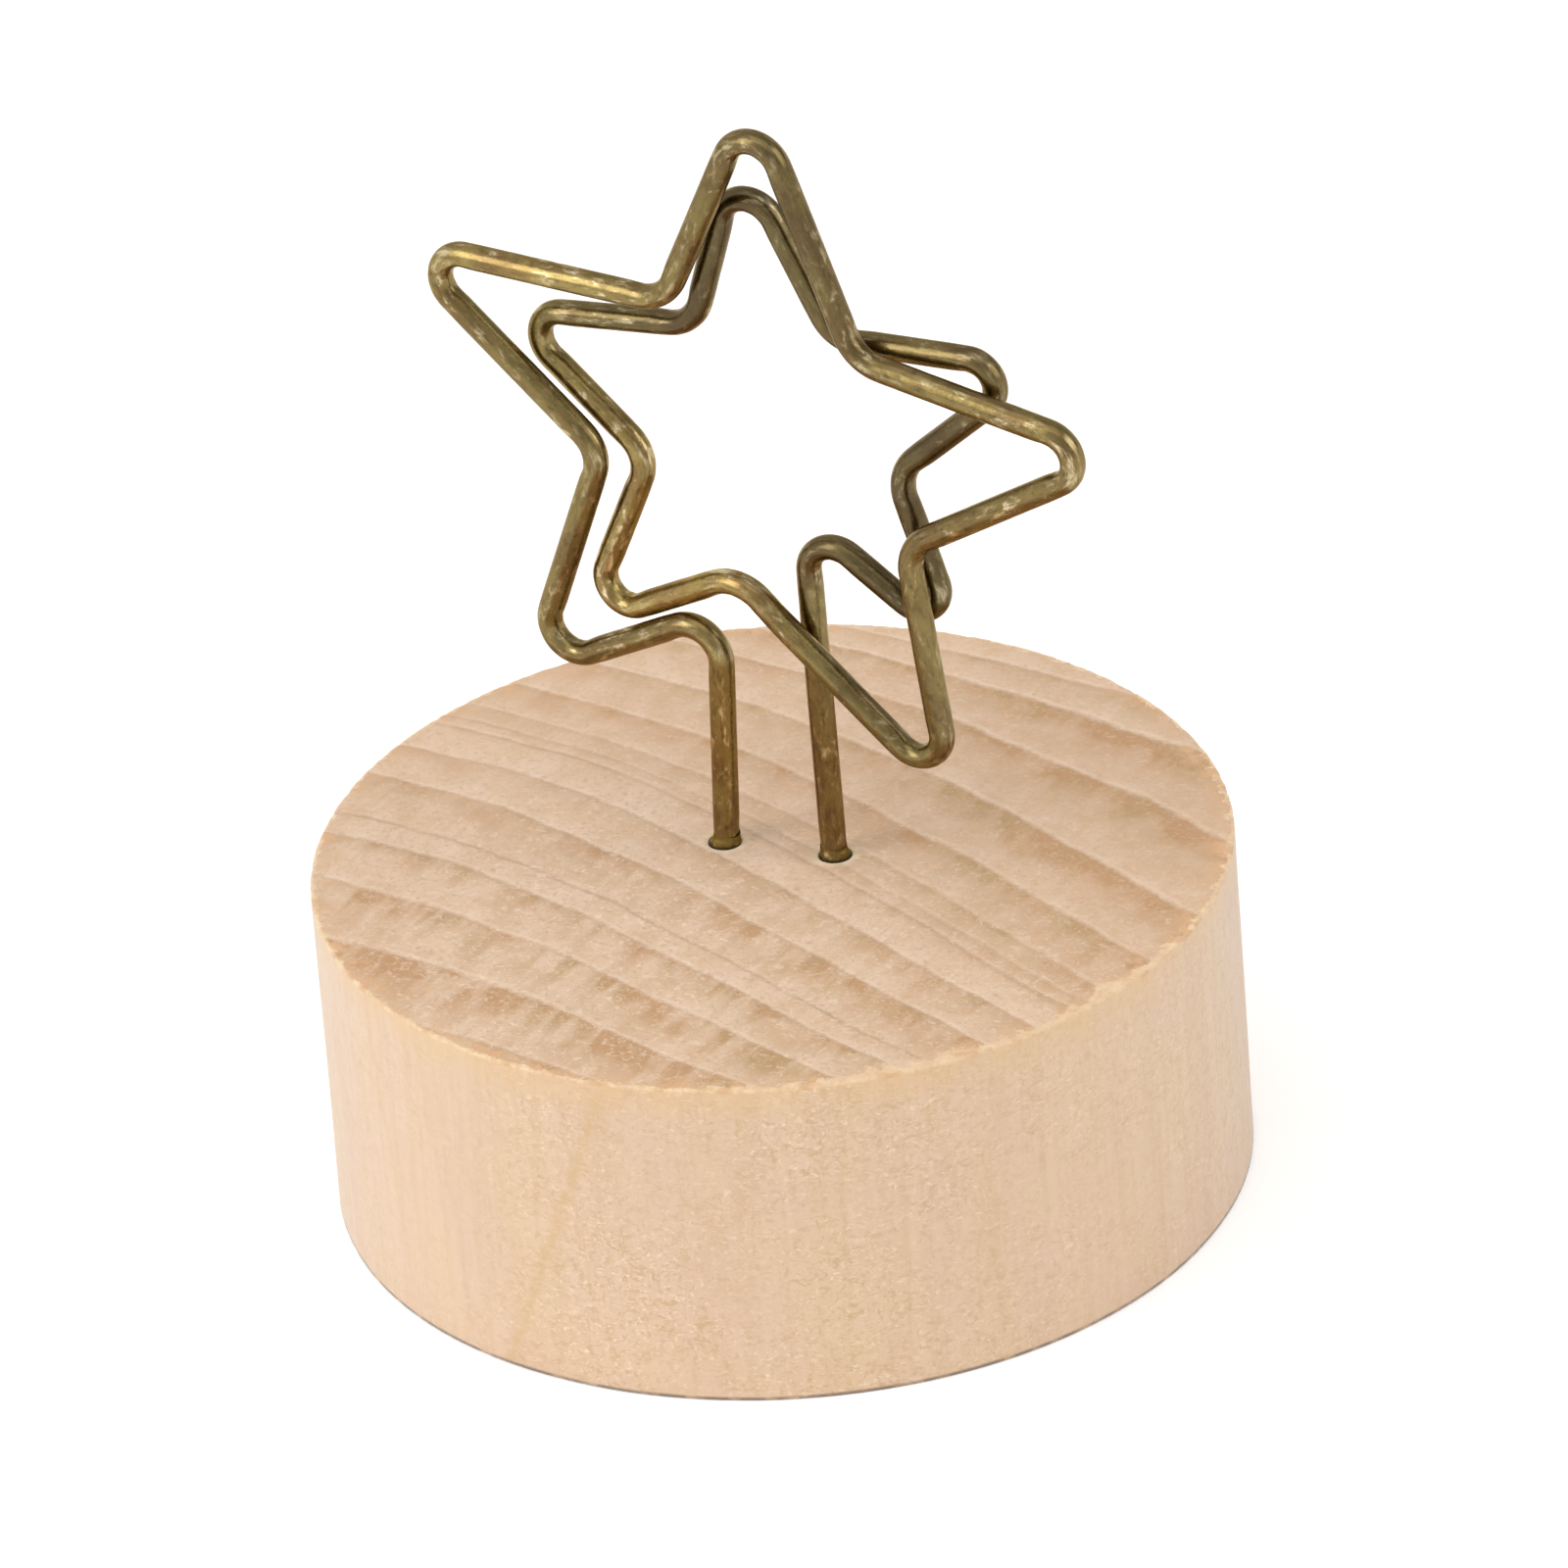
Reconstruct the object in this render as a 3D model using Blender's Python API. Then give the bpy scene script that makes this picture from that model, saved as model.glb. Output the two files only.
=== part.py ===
"""Memo clip holder: a round wooden block with one wire bent into two star loops.

Metres, +Z up. The origin is the middle of the block's underside. X runs along the plane of
the stars, and -Y is the side of the larger, front star. The wire is one piece on the real
thing. Here it is cut twice, where it flexes, so that the front star can swing open.
"""
import math

import bpy
from mathutils import Matrix, Vector

# Wooden block
base_diameter = 0.052
base_height = 0.020
base_edge_round = 0.0004

# Drilled holes and what sits in them
hole_clearance = 0.0002
hole_depth = 0.012
drill_point_angle = 118.0
left_hole_x = -0.0029
right_hole_x = 0.0033
wire_end_gap = 0.0004
glue_fit = 0.00004
glue_depth = 0.0030
glue_rise = 0.00045

# Wire
wire_diameter = 0.0015
memo_slot = 0.0003
front_loop_y = -0.0003
left_leg_lean = 0.0003
right_leg_lean = 0.0002
foot_straight = 0.0008
foot_bend_radius = 0.0040
tip_bend_radius = 0.00166
notch_bend_radius = 0.0024
leg_bend_radius = 0.0019
crossover_bend_radius = 0.0028
cut_width = 0.0003
cut_under_bend = 0.0004
cut_past_leg = 0.0022

# Front star, its middle measured up from the top of the block
front_centre_x = 0.0007
front_centre_rise = 0.0259
front_tip_reach = 0.0234
front_notch_reach = 0.0100
front_turn = -5.6

# Back star
back_centre_x = 0.0012
back_centre_rise = 0.0271
back_tip_reach = 0.0179
back_notch_reach = 0.0074
back_turn = 3.7

# The stars are bent by hand: each corner leans some degrees off its regular place, reaches a
# little more or less, and is rounder or tighter than its bend radius by the last factor. Both
# lists run clockwise, the front one from the notch at the bottom.
front_hand = [
    (-8.1, 1.105, 1.00),
    (-0.2, 1.000, 1.06),
    (0.0, 0.991, 0.91),
    (2.4, 1.019, 1.00),
    (-1.5, 0.968, 1.08),
    (0.5, 0.966, 1.07),
    (-3.8, 1.054, 1.10),
    (-0.9, 1.046, 0.98),
    (2.8, 1.062, 1.07),
    (0.9, 0.969, 0.99),
    (-4.1, 0.834, 1.00),
]
back_hand = [
    (-7.6, 1.110, 0.95),
    (4.0, 1.180, 0.88),
    (3.1, 0.986, 1.01),
    (2.0, 0.915, 1.08),
    (-1.1, 0.936, 1.11),
    (-4.8, 1.033, 0.95),
    (0.2, 1.054, 0.91),
    (3.2, 1.097, 1.08),
    (3.8, 0.927, 0.89),
    (13.0, 0.805, 0.95),
]

# Fineness of the round shapes
base_sides = 128
hole_sides = 24
edge_steps = 3
wire_bevel_resolution = 4
arc_step = math.radians(15)

# Sizes and places that follow from the ones above
wire_radius = wire_diameter / 2
hole_radius = wire_radius + hole_clearance
hole_bottom = base_height - hole_depth
wire_bottom = hole_bottom + wire_end_gap
foot_height = base_height + foot_straight
back_loop_y = front_loop_y + wire_diameter + memo_slot
left_hole_y = front_loop_y + left_leg_lean
right_hole_y = back_loop_y - right_leg_lean


def clear_scene():
    for thing in list(bpy.data.objects):
        bpy.data.objects.remove(thing)


def finish(name, colour, roughness, metallic):
    material = bpy.data.materials.new(name)
    material.use_nodes = True
    shader = material.node_tree.nodes["Principled BSDF"]
    shader.inputs["Base Color"].default_value = (*colour, 1.0)
    shader.inputs["Roughness"].default_value = roughness
    shader.inputs["Metallic"].default_value = metallic
    return material


def add_object(name, data, location=(0, 0, 0)):
    thing = bpy.data.objects.new(name, data)
    thing.location = location
    bpy.context.scene.collection.objects.link(thing)
    return thing


def turned(name, profile, sides, closed=False):
    """A mesh turned about Z from (radius, height) points, which run upwards on the outside."""
    points = []
    rings = []
    for radius, height in profile:
        count = sides if radius else 1
        rings.append(range(len(points), len(points) + count))
        for side in range(count):
            angle = 2 * math.pi * side / sides
            points.append((radius * math.cos(angle), radius * math.sin(angle), height))
    pairs = list(zip(rings, rings[1:]))
    if closed:
        pairs.append((rings[-1], rings[0]))
    faces = []
    for low, high in pairs:
        for side in range(sides):
            after = (side + 1) % sides
            if len(low) == 1:
                faces.append((low[0], high[after], high[side]))
            elif len(high) == 1:
                faces.append((low[side], low[after], high[0]))
            else:
                faces.append((low[side], low[after], high[after], high[side]))
    mesh = bpy.data.meshes.new(name)
    mesh.from_pydata(points, [], faces)
    mesh.shade_smooth()
    mesh.set_sharp_from_angle(angle=math.radians(30))
    return mesh


def edge_arc():
    """Quarter turn of the block's eased edge, as (inwards, outwards along Z) offsets."""
    for step in range(edge_steps + 1):
        angle = math.pi / 2 * step / edge_steps
        yield base_edge_round * (1 - math.cos(angle)), base_edge_round * math.sin(angle)


def wooden_base():
    radius = base_diameter / 2
    low = base_edge_round
    high = base_height - base_edge_round
    under = [(radius - inwards, low - along) for inwards, along in edge_arc()]
    over = [(radius - inwards, high + along) for inwards, along in edge_arc()]
    profile = [(0, 0), *reversed(under), *over, (0, base_height)]
    mesh = turned("wooden_base", profile, base_sides)
    mesh.materials.append(finish("pale_wood", (0.72, 0.52, 0.34), 0.6, 0.0))
    block = add_object("wooden_base", mesh)
    for name, x, y in (
        ("left_hole", left_hole_x, left_hole_y),
        ("right_hole", right_hole_x, right_hole_y),
    ):
        cut = block.modifiers.new(name, "BOOLEAN")
        cut.operation = "DIFFERENCE"
        cut.solver = "EXACT"
        cut.object = drilled_space(name, x, y)


def drilled_space(name, x, y):
    """What the drill takes away: a round hole with a conical bottom."""
    point = hole_radius / math.tan(math.radians(drill_point_angle / 2))
    above = base_height + hole_radius
    profile = [(0, hole_bottom - point), (hole_radius, hole_bottom), (hole_radius, above), (0, above)]
    cutter = add_object(name, turned(name, profile, hole_sides), (x, y, 0))
    cutter.hide_render = True
    cutter.display_type = "WIRE"
    return cutter


def glue_ring(name, x, y):
    """Set glue round a leg: it fills the mouth of the hole and climbs the wire a little."""
    outer = hole_radius - glue_fit
    inner = (wire_radius + glue_fit) / math.cos(math.pi / hole_sides)
    crest = inner + (outer - inner) / 3
    bottom = base_height - glue_depth
    top = base_height + glue_rise
    profile = [(inner, bottom), (outer, bottom), (outer, base_height), (crest, top), (inner, top)]
    mesh = turned(name, profile, hole_sides, closed=True)
    mesh.materials.append(finish(name, (0.20, 0.15, 0.07), 0.25, 0.0))
    add_object(name, mesh, (x, y, 0))


def star_corner(step, hand, centre_x, centre_rise, tip_reach, notch_reach, turn):
    """Where the straight runs meet at corner number step, clockwise from the bottom notch."""
    lean, stretch, _ = hand
    reach = stretch * (tip_reach if step % 2 else notch_reach)
    angle = math.radians(270 - 36 * step + turn + lean)
    x = centre_x + reach * math.cos(angle)
    z = base_height + centre_rise + reach * math.sin(angle)
    return x, z


def wire_corners():
    """Every bend of the wire in the plane of the stars: its name to (x, z, bend radius).

    Odd steps of a star are its tips and even steps its notches. front 0 is the top of the
    left leg, front 10 is where the wire crosses over, and back 10 is the top of the right leg.
    """
    front = (front_centre_x, front_centre_rise, front_tip_reach, front_notch_reach, front_turn)
    back = (back_centre_x, back_centre_rise, back_tip_reach, back_notch_reach, back_turn)
    steps = [("front", step, hand, front) for step, hand in enumerate(front_hand)]
    steps += [("back", step, hand, back) for step, hand in enumerate(back_hand, start=1)]
    leg_and_crossover_bends = {
        "front 0": leg_bend_radius,
        "front 10": crossover_bend_radius,
        "back 10": leg_bend_radius,
    }
    corners = {
        "left end": (left_hole_x, wire_bottom, 0),
        "left foot": (left_hole_x, foot_height, foot_bend_radius),
    }
    for side, step, hand, star in steps:
        name = f"{side} {step}"
        usual = tip_bend_radius if step % 2 else notch_bend_radius
        radius = leg_and_crossover_bends.get(name, usual) * hand[2]
        corners[name] = (*star_corner(step, hand, *star), radius)
    corners["right foot"] = (right_hole_x, foot_height, foot_bend_radius)
    corners["right end"] = (right_hole_x, wire_bottom, 0)
    return corners


def rounded_corner(before, corner, after):
    """Points of the arc that replaces a corner. It takes less than half of either run."""
    here = Vector(corner[:2])
    came = here - Vector(before[:2])
    goes = Vector(after[:2]) - here
    turn = came.angle(goes)
    room = 0.49 * min(came.length, goes.length)
    tangent = min(corner[2] * math.tan(turn / 2), room)
    start = here - came.normalized() * tangent
    side = 1 if came.cross(goes) > 0 else -1
    across = Vector((-came.y, came.x)).normalized() * side
    centre = start + across * tangent / math.tan(turn / 2)
    steps = max(2, math.ceil(turn / arc_step))
    arc = []
    for step in range(steps + 1):
        spin = Matrix.Rotation(side * turn * step / steps, 2)
        arc.append(centre + spin @ (start - centre))
    return arc


def meeting(a, b, c, d):
    """Where the lines a-b and c-d cross."""
    along = b - a
    other = d - c
    return a + along * ((c - a).cross(other) / along.cross(other))


def between(value, stations):
    """Straight-line value from (place, value) stations in rising order."""
    for (place_a, value_a), (place_b, value_b) in zip(stations, stations[1:]):
        if value <= place_b:
            share = max(0, (value - place_a) / (place_b - place_a))
            return value_a + (value_b - value_a) * share
    return stations[-1][1]


class WireLine:
    """The wire's middle line, measured by the distance along it in the plane of the stars."""

    def __init__(self):
        corners = wire_corners()
        names = list(corners)
        self.flat = [Vector(corners["left end"][:2])]
        self.places = [0.0]
        self.bend_start = {}
        self.bend_end = {}
        for before, name, after in zip(names, names[1:], names[2:]):
            arc = rounded_corner(corners[before], corners[name], corners[after])
            self.extend(arc[:1])
            self.bend_start[name] = self.places[-1]
            self.extend(arc[1:])
            self.bend_end[name] = self.places[-1]
        self.extend([Vector(corners["right end"][:2])])
        run_ends = ("front 9", "front 10", "back 10", "right foot")
        crossing = meeting(*[Vector(corners[name][:2]) for name in run_ends])
        tip = self.point_in_plane(self.bend_end["front 9"])
        self.crossing = self.bend_end["front 9"] + (crossing - tip).length
        self.depths = [
            (0, left_hole_y),
            (self.bend_end["left foot"], left_hole_y),
            (self.bend_start["front 0"], front_loop_y),
            (self.crossing + wire_diameter, front_loop_y),
            (self.bend_start["back 3"], back_loop_y),
            (self.bend_end["back 10"], back_loop_y),
            (self.bend_start["right foot"], right_hole_y),
            (self.places[-1], right_hole_y),
        ]

    def extend(self, points):
        for point in points:
            self.places.append(self.places[-1] + (point - self.flat[-1]).length)
            self.flat.append(point)

    def point_in_plane(self, place):
        x = between(place, [(at, point.x) for at, point in zip(self.places, self.flat)])
        z = between(place, [(at, point.y) for at, point in zip(self.places, self.flat)])
        return Vector((x, z))

    def point(self, place):
        flat = self.point_in_plane(place)
        return Vector((flat.x, between(place, self.depths), flat.y))

    def stretch(self, start, end):
        """Points from one place to another, with the places where the depth changes."""
        inside = {at for at in self.places if start < at < end}
        inside.update(at for at, depth in self.depths if start < at < end)
        return [self.point(at) for at in sorted({start, end, *inside})]


def wire_piece(name, points, parent=None):
    """A stretch of wire with a round section and flat, cut ends."""
    curve = bpy.data.curves.new(name, "CURVE")
    curve.dimensions = "3D"
    curve.bevel_depth = wire_radius
    curve.bevel_resolution = wire_bevel_resolution
    curve.use_fill_caps = True
    origin = parent.location if parent else Vector((0, 0, 0))
    spline = curve.splines.new("POLY")
    spline.points.add(len(points) - 1)
    for spot, point in zip(spline.points, points):
        spot.co = (*(point - origin), 1)
    curve.materials.append(finish(name, (0.22, 0.16, 0.06), 0.38, 0.9))
    piece = add_object(name, curve)
    piece.parent = parent


def wire_pieces():
    line = WireLine()
    end = line.places[-1]
    leg_cut = line.bend_start["front 0"] - cut_under_bend
    strand_cut = line.crossing + cut_past_leg
    half = cut_width / 2
    hinge = add_object("front_star_hinge", None, line.point(leg_cut))
    wire_piece("left_leg", line.stretch(0, leg_cut - half))
    wire_piece("front_star", line.stretch(leg_cut + half, strand_cut - half), hinge)
    wire_piece("back_star", line.stretch(strand_cut + half, end))


clear_scene()
wooden_base()
wire_pieces()
glue_ring("left_glue", left_hole_x, left_hole_y)
glue_ring("right_glue", right_hole_x, right_hole_y)
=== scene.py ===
import math

import bpy
from mathutils import Matrix, Vector, noise
from mathutils.geometry import delaunay_2d_cdt


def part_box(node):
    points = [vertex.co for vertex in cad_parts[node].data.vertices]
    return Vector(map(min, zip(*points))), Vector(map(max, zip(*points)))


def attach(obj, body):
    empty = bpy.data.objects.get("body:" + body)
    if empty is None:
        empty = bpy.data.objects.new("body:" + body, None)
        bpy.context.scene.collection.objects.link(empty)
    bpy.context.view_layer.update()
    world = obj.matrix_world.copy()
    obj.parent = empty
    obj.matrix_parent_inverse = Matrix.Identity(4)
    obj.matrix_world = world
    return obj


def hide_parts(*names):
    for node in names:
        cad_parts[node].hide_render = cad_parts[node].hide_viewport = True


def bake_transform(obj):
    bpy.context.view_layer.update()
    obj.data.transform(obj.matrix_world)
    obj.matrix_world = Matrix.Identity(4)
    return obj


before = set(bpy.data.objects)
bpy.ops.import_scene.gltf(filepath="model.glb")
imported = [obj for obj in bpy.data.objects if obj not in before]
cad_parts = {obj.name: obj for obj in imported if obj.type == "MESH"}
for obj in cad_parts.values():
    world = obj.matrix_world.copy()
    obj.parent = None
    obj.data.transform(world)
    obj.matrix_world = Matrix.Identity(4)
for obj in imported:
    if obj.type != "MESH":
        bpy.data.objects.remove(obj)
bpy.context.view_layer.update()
print("stage: frame loaded,", len(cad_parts), "nodes")

mm = 0.001  # in metres; the wood's, the wire's and the glue's sizes below are in mm
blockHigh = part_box("wooden_base")[1]
blockTop = blockHigh.z
blockRadius = blockHigh.x


# small helpers

def smooth(value, low, high):
    share = max(0, min(1, (value - low) / (high - low)))
    return share * share * (3 - 2 * share)


def mix(a, b, share):
    return a + (b - a) * share


def holePlace(glueNode):
    low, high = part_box(glueNode)
    return Vector(((low.x + high.x) / 2, (low.y + high.y) / 2))


def addPiece(name, points, faces, sharpAngle=40):
    mesh = bpy.data.meshes.new(name)
    mesh.from_pydata(points, [], faces)
    mesh.validate()
    mesh.shade_smooth()
    mesh.set_sharp_from_angle(angle=math.radians(sharpAngle))
    piece = bpy.data.objects.new(name, mesh)
    bpy.context.scene.collection.objects.link(piece)
    return piece


def circle(radius, sides, x=0.0, y=0.0):
    angles = [2 * math.pi * n / sides for n in range(sides)]
    return [(x + radius * math.cos(angle), y + radius * math.sin(angle)) for angle in angles]


def stitch(faces, low, high):
    # quads between two rings of one length; low to high runs up an outer wall
    count = len(low)
    for n in range(count):
        m = (n + 1) % count
        faces.append((low[n], low[m], high[m], high[n]))


def storeNumbers(piece, name, numbers):
    layer = piece.data.attributes.new(name, "FLOAT", "POINT")
    layer.data.foreach_set("value", numbers)


def storeVectors(piece, name, vectors):
    layer = piece.data.attributes.new(name, "FLOAT_VECTOR", "POINT")
    layer.data.foreach_set("vector", [part for vector in vectors for part in vector])


# short ways to add nodes, to the world, a group or a material

class Nodes:
    def __init__(self, tree):
        self.tree = tree

    def node(self, kind, **settings):
        made = self.tree.nodes.new("ShaderNode" + kind)
        for key, value in settings.items():
            setattr(made, key, value)
        return made

    def join(self, source, socket):
        self.tree.links.new(source, socket)

    def put(self, value, socket):
        if isinstance(value, bpy.types.NodeSocket):
            self.join(value, socket)
        else:
            socket.default_value = value

    def math(self, operation, a, b=0.0, c=0.0, clamp=False):
        made = self.node("Math", operation=operation, use_clamp=clamp)
        for value, socket in zip((a, b, c), made.inputs):
            self.put(value, socket)
        return made.outputs[0]

    def times(self, first, *rest):
        for value in rest:
            first = self.math("MULTIPLY", first, value)
        return first

    def plus(self, first, *rest):
        for value in rest:
            first = self.math("ADD", first, value)
        return first

    def between(self, share, start, end):
        return self.plus(self.times(share, end - start), start)

    def capped(self, value, factor):
        # a share that stops at 1
        return self.math("MULTIPLY", value, factor, clamp=True)

    def place(self):
        # where on the piece, in mm
        return self.scaled(self.node("TexCoord").outputs["Object"], (1 / mm, 1 / mm, 1 / mm))

    def parts(self, vector):
        made = self.node("SeparateXYZ")
        self.join(vector, made.inputs[0])
        return made.outputs

    def scaled(self, vector, factors):
        made = self.node("VectorMath", operation="MULTIPLY")
        self.put(vector, made.inputs[0])
        made.inputs[1].default_value = factors
        return made.outputs[0]

    def speckle(self, vector, scale, detail=3.0, roughness=0.55, distortion=0.0):
        made = self.node("TexNoise")
        self.put(vector, made.inputs["Vector"])
        made.inputs["Scale"].default_value = scale
        made.inputs["Detail"].default_value = detail
        made.inputs["Roughness"].default_value = roughness
        made.inputs["Distortion"].default_value = distortion
        return made.outputs["Fac"]

    def mark(self, vector, stretch, *settings):
        return self.speckle(self.scaled(vector, stretch), *settings)

    def ease(self, value, low, high, start=0.0, end=1.0, kind="SMOOTHSTEP"):
        made = self.node("MapRange", interpolation_type=kind)
        self.put(value, made.inputs["Value"])
        made.inputs["From Min"].default_value = low
        made.inputs["From Max"].default_value = high
        made.inputs["To Min"].default_value = start
        made.inputs["To Max"].default_value = end
        return made.outputs["Result"]

    def blend(self, share, a, b, way="MIX"):
        made = self.node("Mix", data_type="RGBA", blend_type=way)
        colours = [socket for socket in made.inputs if socket.type == "RGBA"]
        self.put(share, made.inputs[0])
        for value, socket in zip((a, b), colours):
            self.put((*value, 1) if isinstance(value, tuple) else value, socket)
        return [socket for socket in made.outputs if socket.type == "RGBA"][0]

    def stored(self, name, output="Fac"):
        return self.node("Attribute", attribute_name=name).outputs[output]

    def backgroundRay(self):
        # 1 where the camera sees the background, in a reflection too, and 0 for the light on the object
        path = self.node("LightPath")
        total = path.outputs["Is Camera Ray"]
        for name in ("Is Glossy Ray", "Is Transmission Ray"):
            total = self.math("ADD", total, path.outputs[name], clamp=True)
        return total


class Finish(Nodes):
    def __init__(self, name):
        self.material = bpy.data.materials.new(name)
        self.material.use_nodes = True
        super().__init__(self.material.node_tree)
        self.shader = self.tree.nodes["Principled BSDF"]

    def bump(self, height, distance, strength):
        made = self.node("Bump")
        made.inputs["Strength"].default_value = strength
        made.inputs["Distance"].default_value = distance
        self.join(height, made.inputs["Height"])
        self.join(made.outputs["Normal"], self.shader.inputs["Normal"])


# camera and light: where the photograph was taken from

view = {
    "lens": 360.0,                  # mm
    "sensor": 36.0,                 # mm
    "turn": 33.0,                   # degrees, how far the stars turn from the camera
    "height": 29.81,                # degrees above the desk
    "roll": 4.535,                  # degrees, the holder leans to the left in the frame
    "distance": 0.88934,            # m
    "near": 0.01,
    "far": 50.0,
    "aim": (12.50, 379.36),         # pixels from the frame's middle to the block's foot
    "frameWidth": 1600,
}


def placeCamera():
    turn, height, roll = (math.radians(view[key]) for key in ("turn", "height", "roll"))
    forward = Vector((
        -math.sin(turn) * math.cos(height),
        math.cos(turn) * math.cos(height),
        -math.sin(height),
    ))
    right = Vector((math.cos(turn), math.sin(turn), 0))
    up = right.cross(forward)
    tiltedRight = right * math.cos(roll) - up * math.sin(roll)
    tiltedUp = right * math.sin(roll) + up * math.cos(roll)
    pixel = view["distance"] * view["sensor"] / (view["lens"] * view["frameWidth"])
    across, down = view["aim"]
    place = -forward * view["distance"] - tiltedRight * across * pixel + tiltedUp * down * pixel
    camera = bpy.data.objects.new("camera", bpy.data.cameras.new("camera"))
    camera.data.lens = view["lens"]
    camera.data.sensor_width = view["sensor"]
    camera.data.clip_start = view["near"]
    camera.data.clip_end = view["far"]
    camera.matrix_world = Matrix((
        (tiltedRight.x, tiltedUp.x, -forward.x, place.x),
        (tiltedRight.y, tiltedUp.y, -forward.y, place.y),
        (tiltedRight.z, tiltedUp.z, -forward.z, place.z),
        (0, 0, 0, 1),
    ))
    bpy.context.scene.collection.objects.link(camera)
    bpy.context.scene.camera = camera
    return right, forward


# side is degrees to the right of the camera, height is degrees up; the rest is in metres and watts
lamps = {
    "keyLamp": {"side": -68, "height": 31, "distance": 1.2, "wide": 0.45, "tall": 0.85, "power": 3.8},
    "topLamp": {"side": -20, "height": 78, "distance": 1.2, "wide": 0.90, "tall": 0.90, "power": 2.0},
    "fillLamp": {"side": 68, "height": 33, "distance": 1.4, "wide": 1.00, "tall": 1.00, "power": 6.3},
}


def placeLamps(right, forward):
    ahead = Vector((forward.x, forward.y, 0)).normalized()
    target = Vector((0, 0, blockTop))
    for name, lamp in lamps.items():
        side, height = math.radians(lamp["side"]), math.radians(lamp["height"])
        level = right * math.sin(side) - ahead * math.cos(side)
        towards = level * math.cos(height) + Vector((0, 0, math.sin(height)))
        light = bpy.data.lights.new(name, "AREA")
        light.energy = lamp["power"]
        light.shape = "RECTANGLE"
        light.size = lamp["wide"]
        light.size_y = lamp["tall"]
        holder = bpy.data.objects.new(name, light)
        holder.location = target + towards * lamp["distance"]
        holder.rotation_euler = towards.to_track_quat("Z", "Y").to_euler()
        bpy.context.scene.collection.objects.link(holder)


# lengths here are in metres
room = {
    "white": (1.0, 1.0, 1.0),
    "leftWall": (1.0, 1.0, 1.0),    # the tent round the object, bright on the left
    "rightWall": (0.36, 0.36, 0.36),
    "backdropTop": 0.10,            # the white backdrop starts to fade at this slope
    "backdropFade": 0.10,
    "floorRadius": 6.0,
    "floorSides": 120,
    "floorOpening": 0.98,           # of the block's radius, so that its underside shows from below
    "floorGap": 0.00002,            # under the block, so that the two faces don't coincide
    "floorColour": (0.85, 0.85, 0.85),
    "floorRoughness": 0.9,
    "floorShine": 0.1,
    "floorGlow": 0.34,              # brings the lit floor up to white
}


def makeRoom(right):
    world = bpy.data.worlds.new("room")
    bpy.context.scene.world = world
    world.use_nodes = True
    nodes = Nodes(world.node_tree)
    direction = nodes.node("TexCoord").outputs["Generated"]
    # the tent lights the object: from straight to the left, -1, to straight to the right, 1
    sideways = nodes.node("VectorMath", operation="DOT_PRODUCT")
    nodes.join(direction, sideways.inputs[0])
    sideways.inputs[1].default_value = right
    tent = nodes.node("ValToRGB")
    nodes.join(nodes.ease(sideways.outputs["Value"], -1, 1, kind="LINEAR"), tent.inputs[0])
    tent.color_ramp.elements[0].color = (*room["leftWall"], 1)
    tent.color_ramp.elements[1].color = (*room["rightWall"], 1)
    sky = nodes.tree.nodes["Background"]
    nodes.join(tent.outputs[0], sky.inputs["Color"])
    # the backdrop is only seen
    backdrop = nodes.node("Background")
    backdrop.inputs["Color"].default_value = (*room["white"], 1)
    slope = nodes.parts(direction)["Z"]
    fadeEnd = room["backdropTop"] + room["backdropFade"]
    low = nodes.ease(slope, room["backdropTop"], fadeEnd, 1.0, 0.0, kind="LINEAR")
    mixed = nodes.node("MixShader")
    nodes.join(nodes.times(low, nodes.backgroundRay()), mixed.inputs[0])
    nodes.join(sky.outputs[0], mixed.inputs[1])
    nodes.join(backdrop.outputs[0], mixed.inputs[2])
    nodes.join(mixed.outputs[0], nodes.tree.nodes["World Output"].inputs["Surface"])


def makeFloor():
    sides = room["floorSides"]
    radii = (blockRadius * room["floorOpening"], room["floorRadius"])
    corners = [(x, y, -room["floorGap"]) for radius in radii for x, y in circle(radius, sides)]
    faces = []
    stitch(faces, range(sides, 2 * sides), range(sides))
    floor = addPiece("deskFloor", corners, faces)
    finish = Finish("paleFloor")
    finish.shader.inputs["Base Color"].default_value = (*room["floorColour"], 1)
    finish.shader.inputs["Roughness"].default_value = room["floorRoughness"]
    finish.shader.inputs["Specular IOR Level"].default_value = room["floorShine"]
    glow = finish.node("Emission")
    finish.join(finish.times(finish.backgroundRay(), room["floorGlow"]), glow.inputs["Strength"])
    both = finish.node("AddShader")
    finish.join(finish.shader.outputs[0], both.inputs[0])
    finish.join(glow.outputs[0], both.inputs[1])
    finish.join(both.outputs[0], finish.tree.nodes["Material Output"].inputs["Surface"])
    floor.data.materials.append(finish.material)


right, forward = placeCamera()
placeLamps(right, forward)
makeRoom(right)
makeFloor()
bpy.context.scene.view_settings.view_transform = "Standard"
print("stage: camera, lamps and floor")


# wood: growth rings cross the end grain on top and fade down the side

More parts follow.
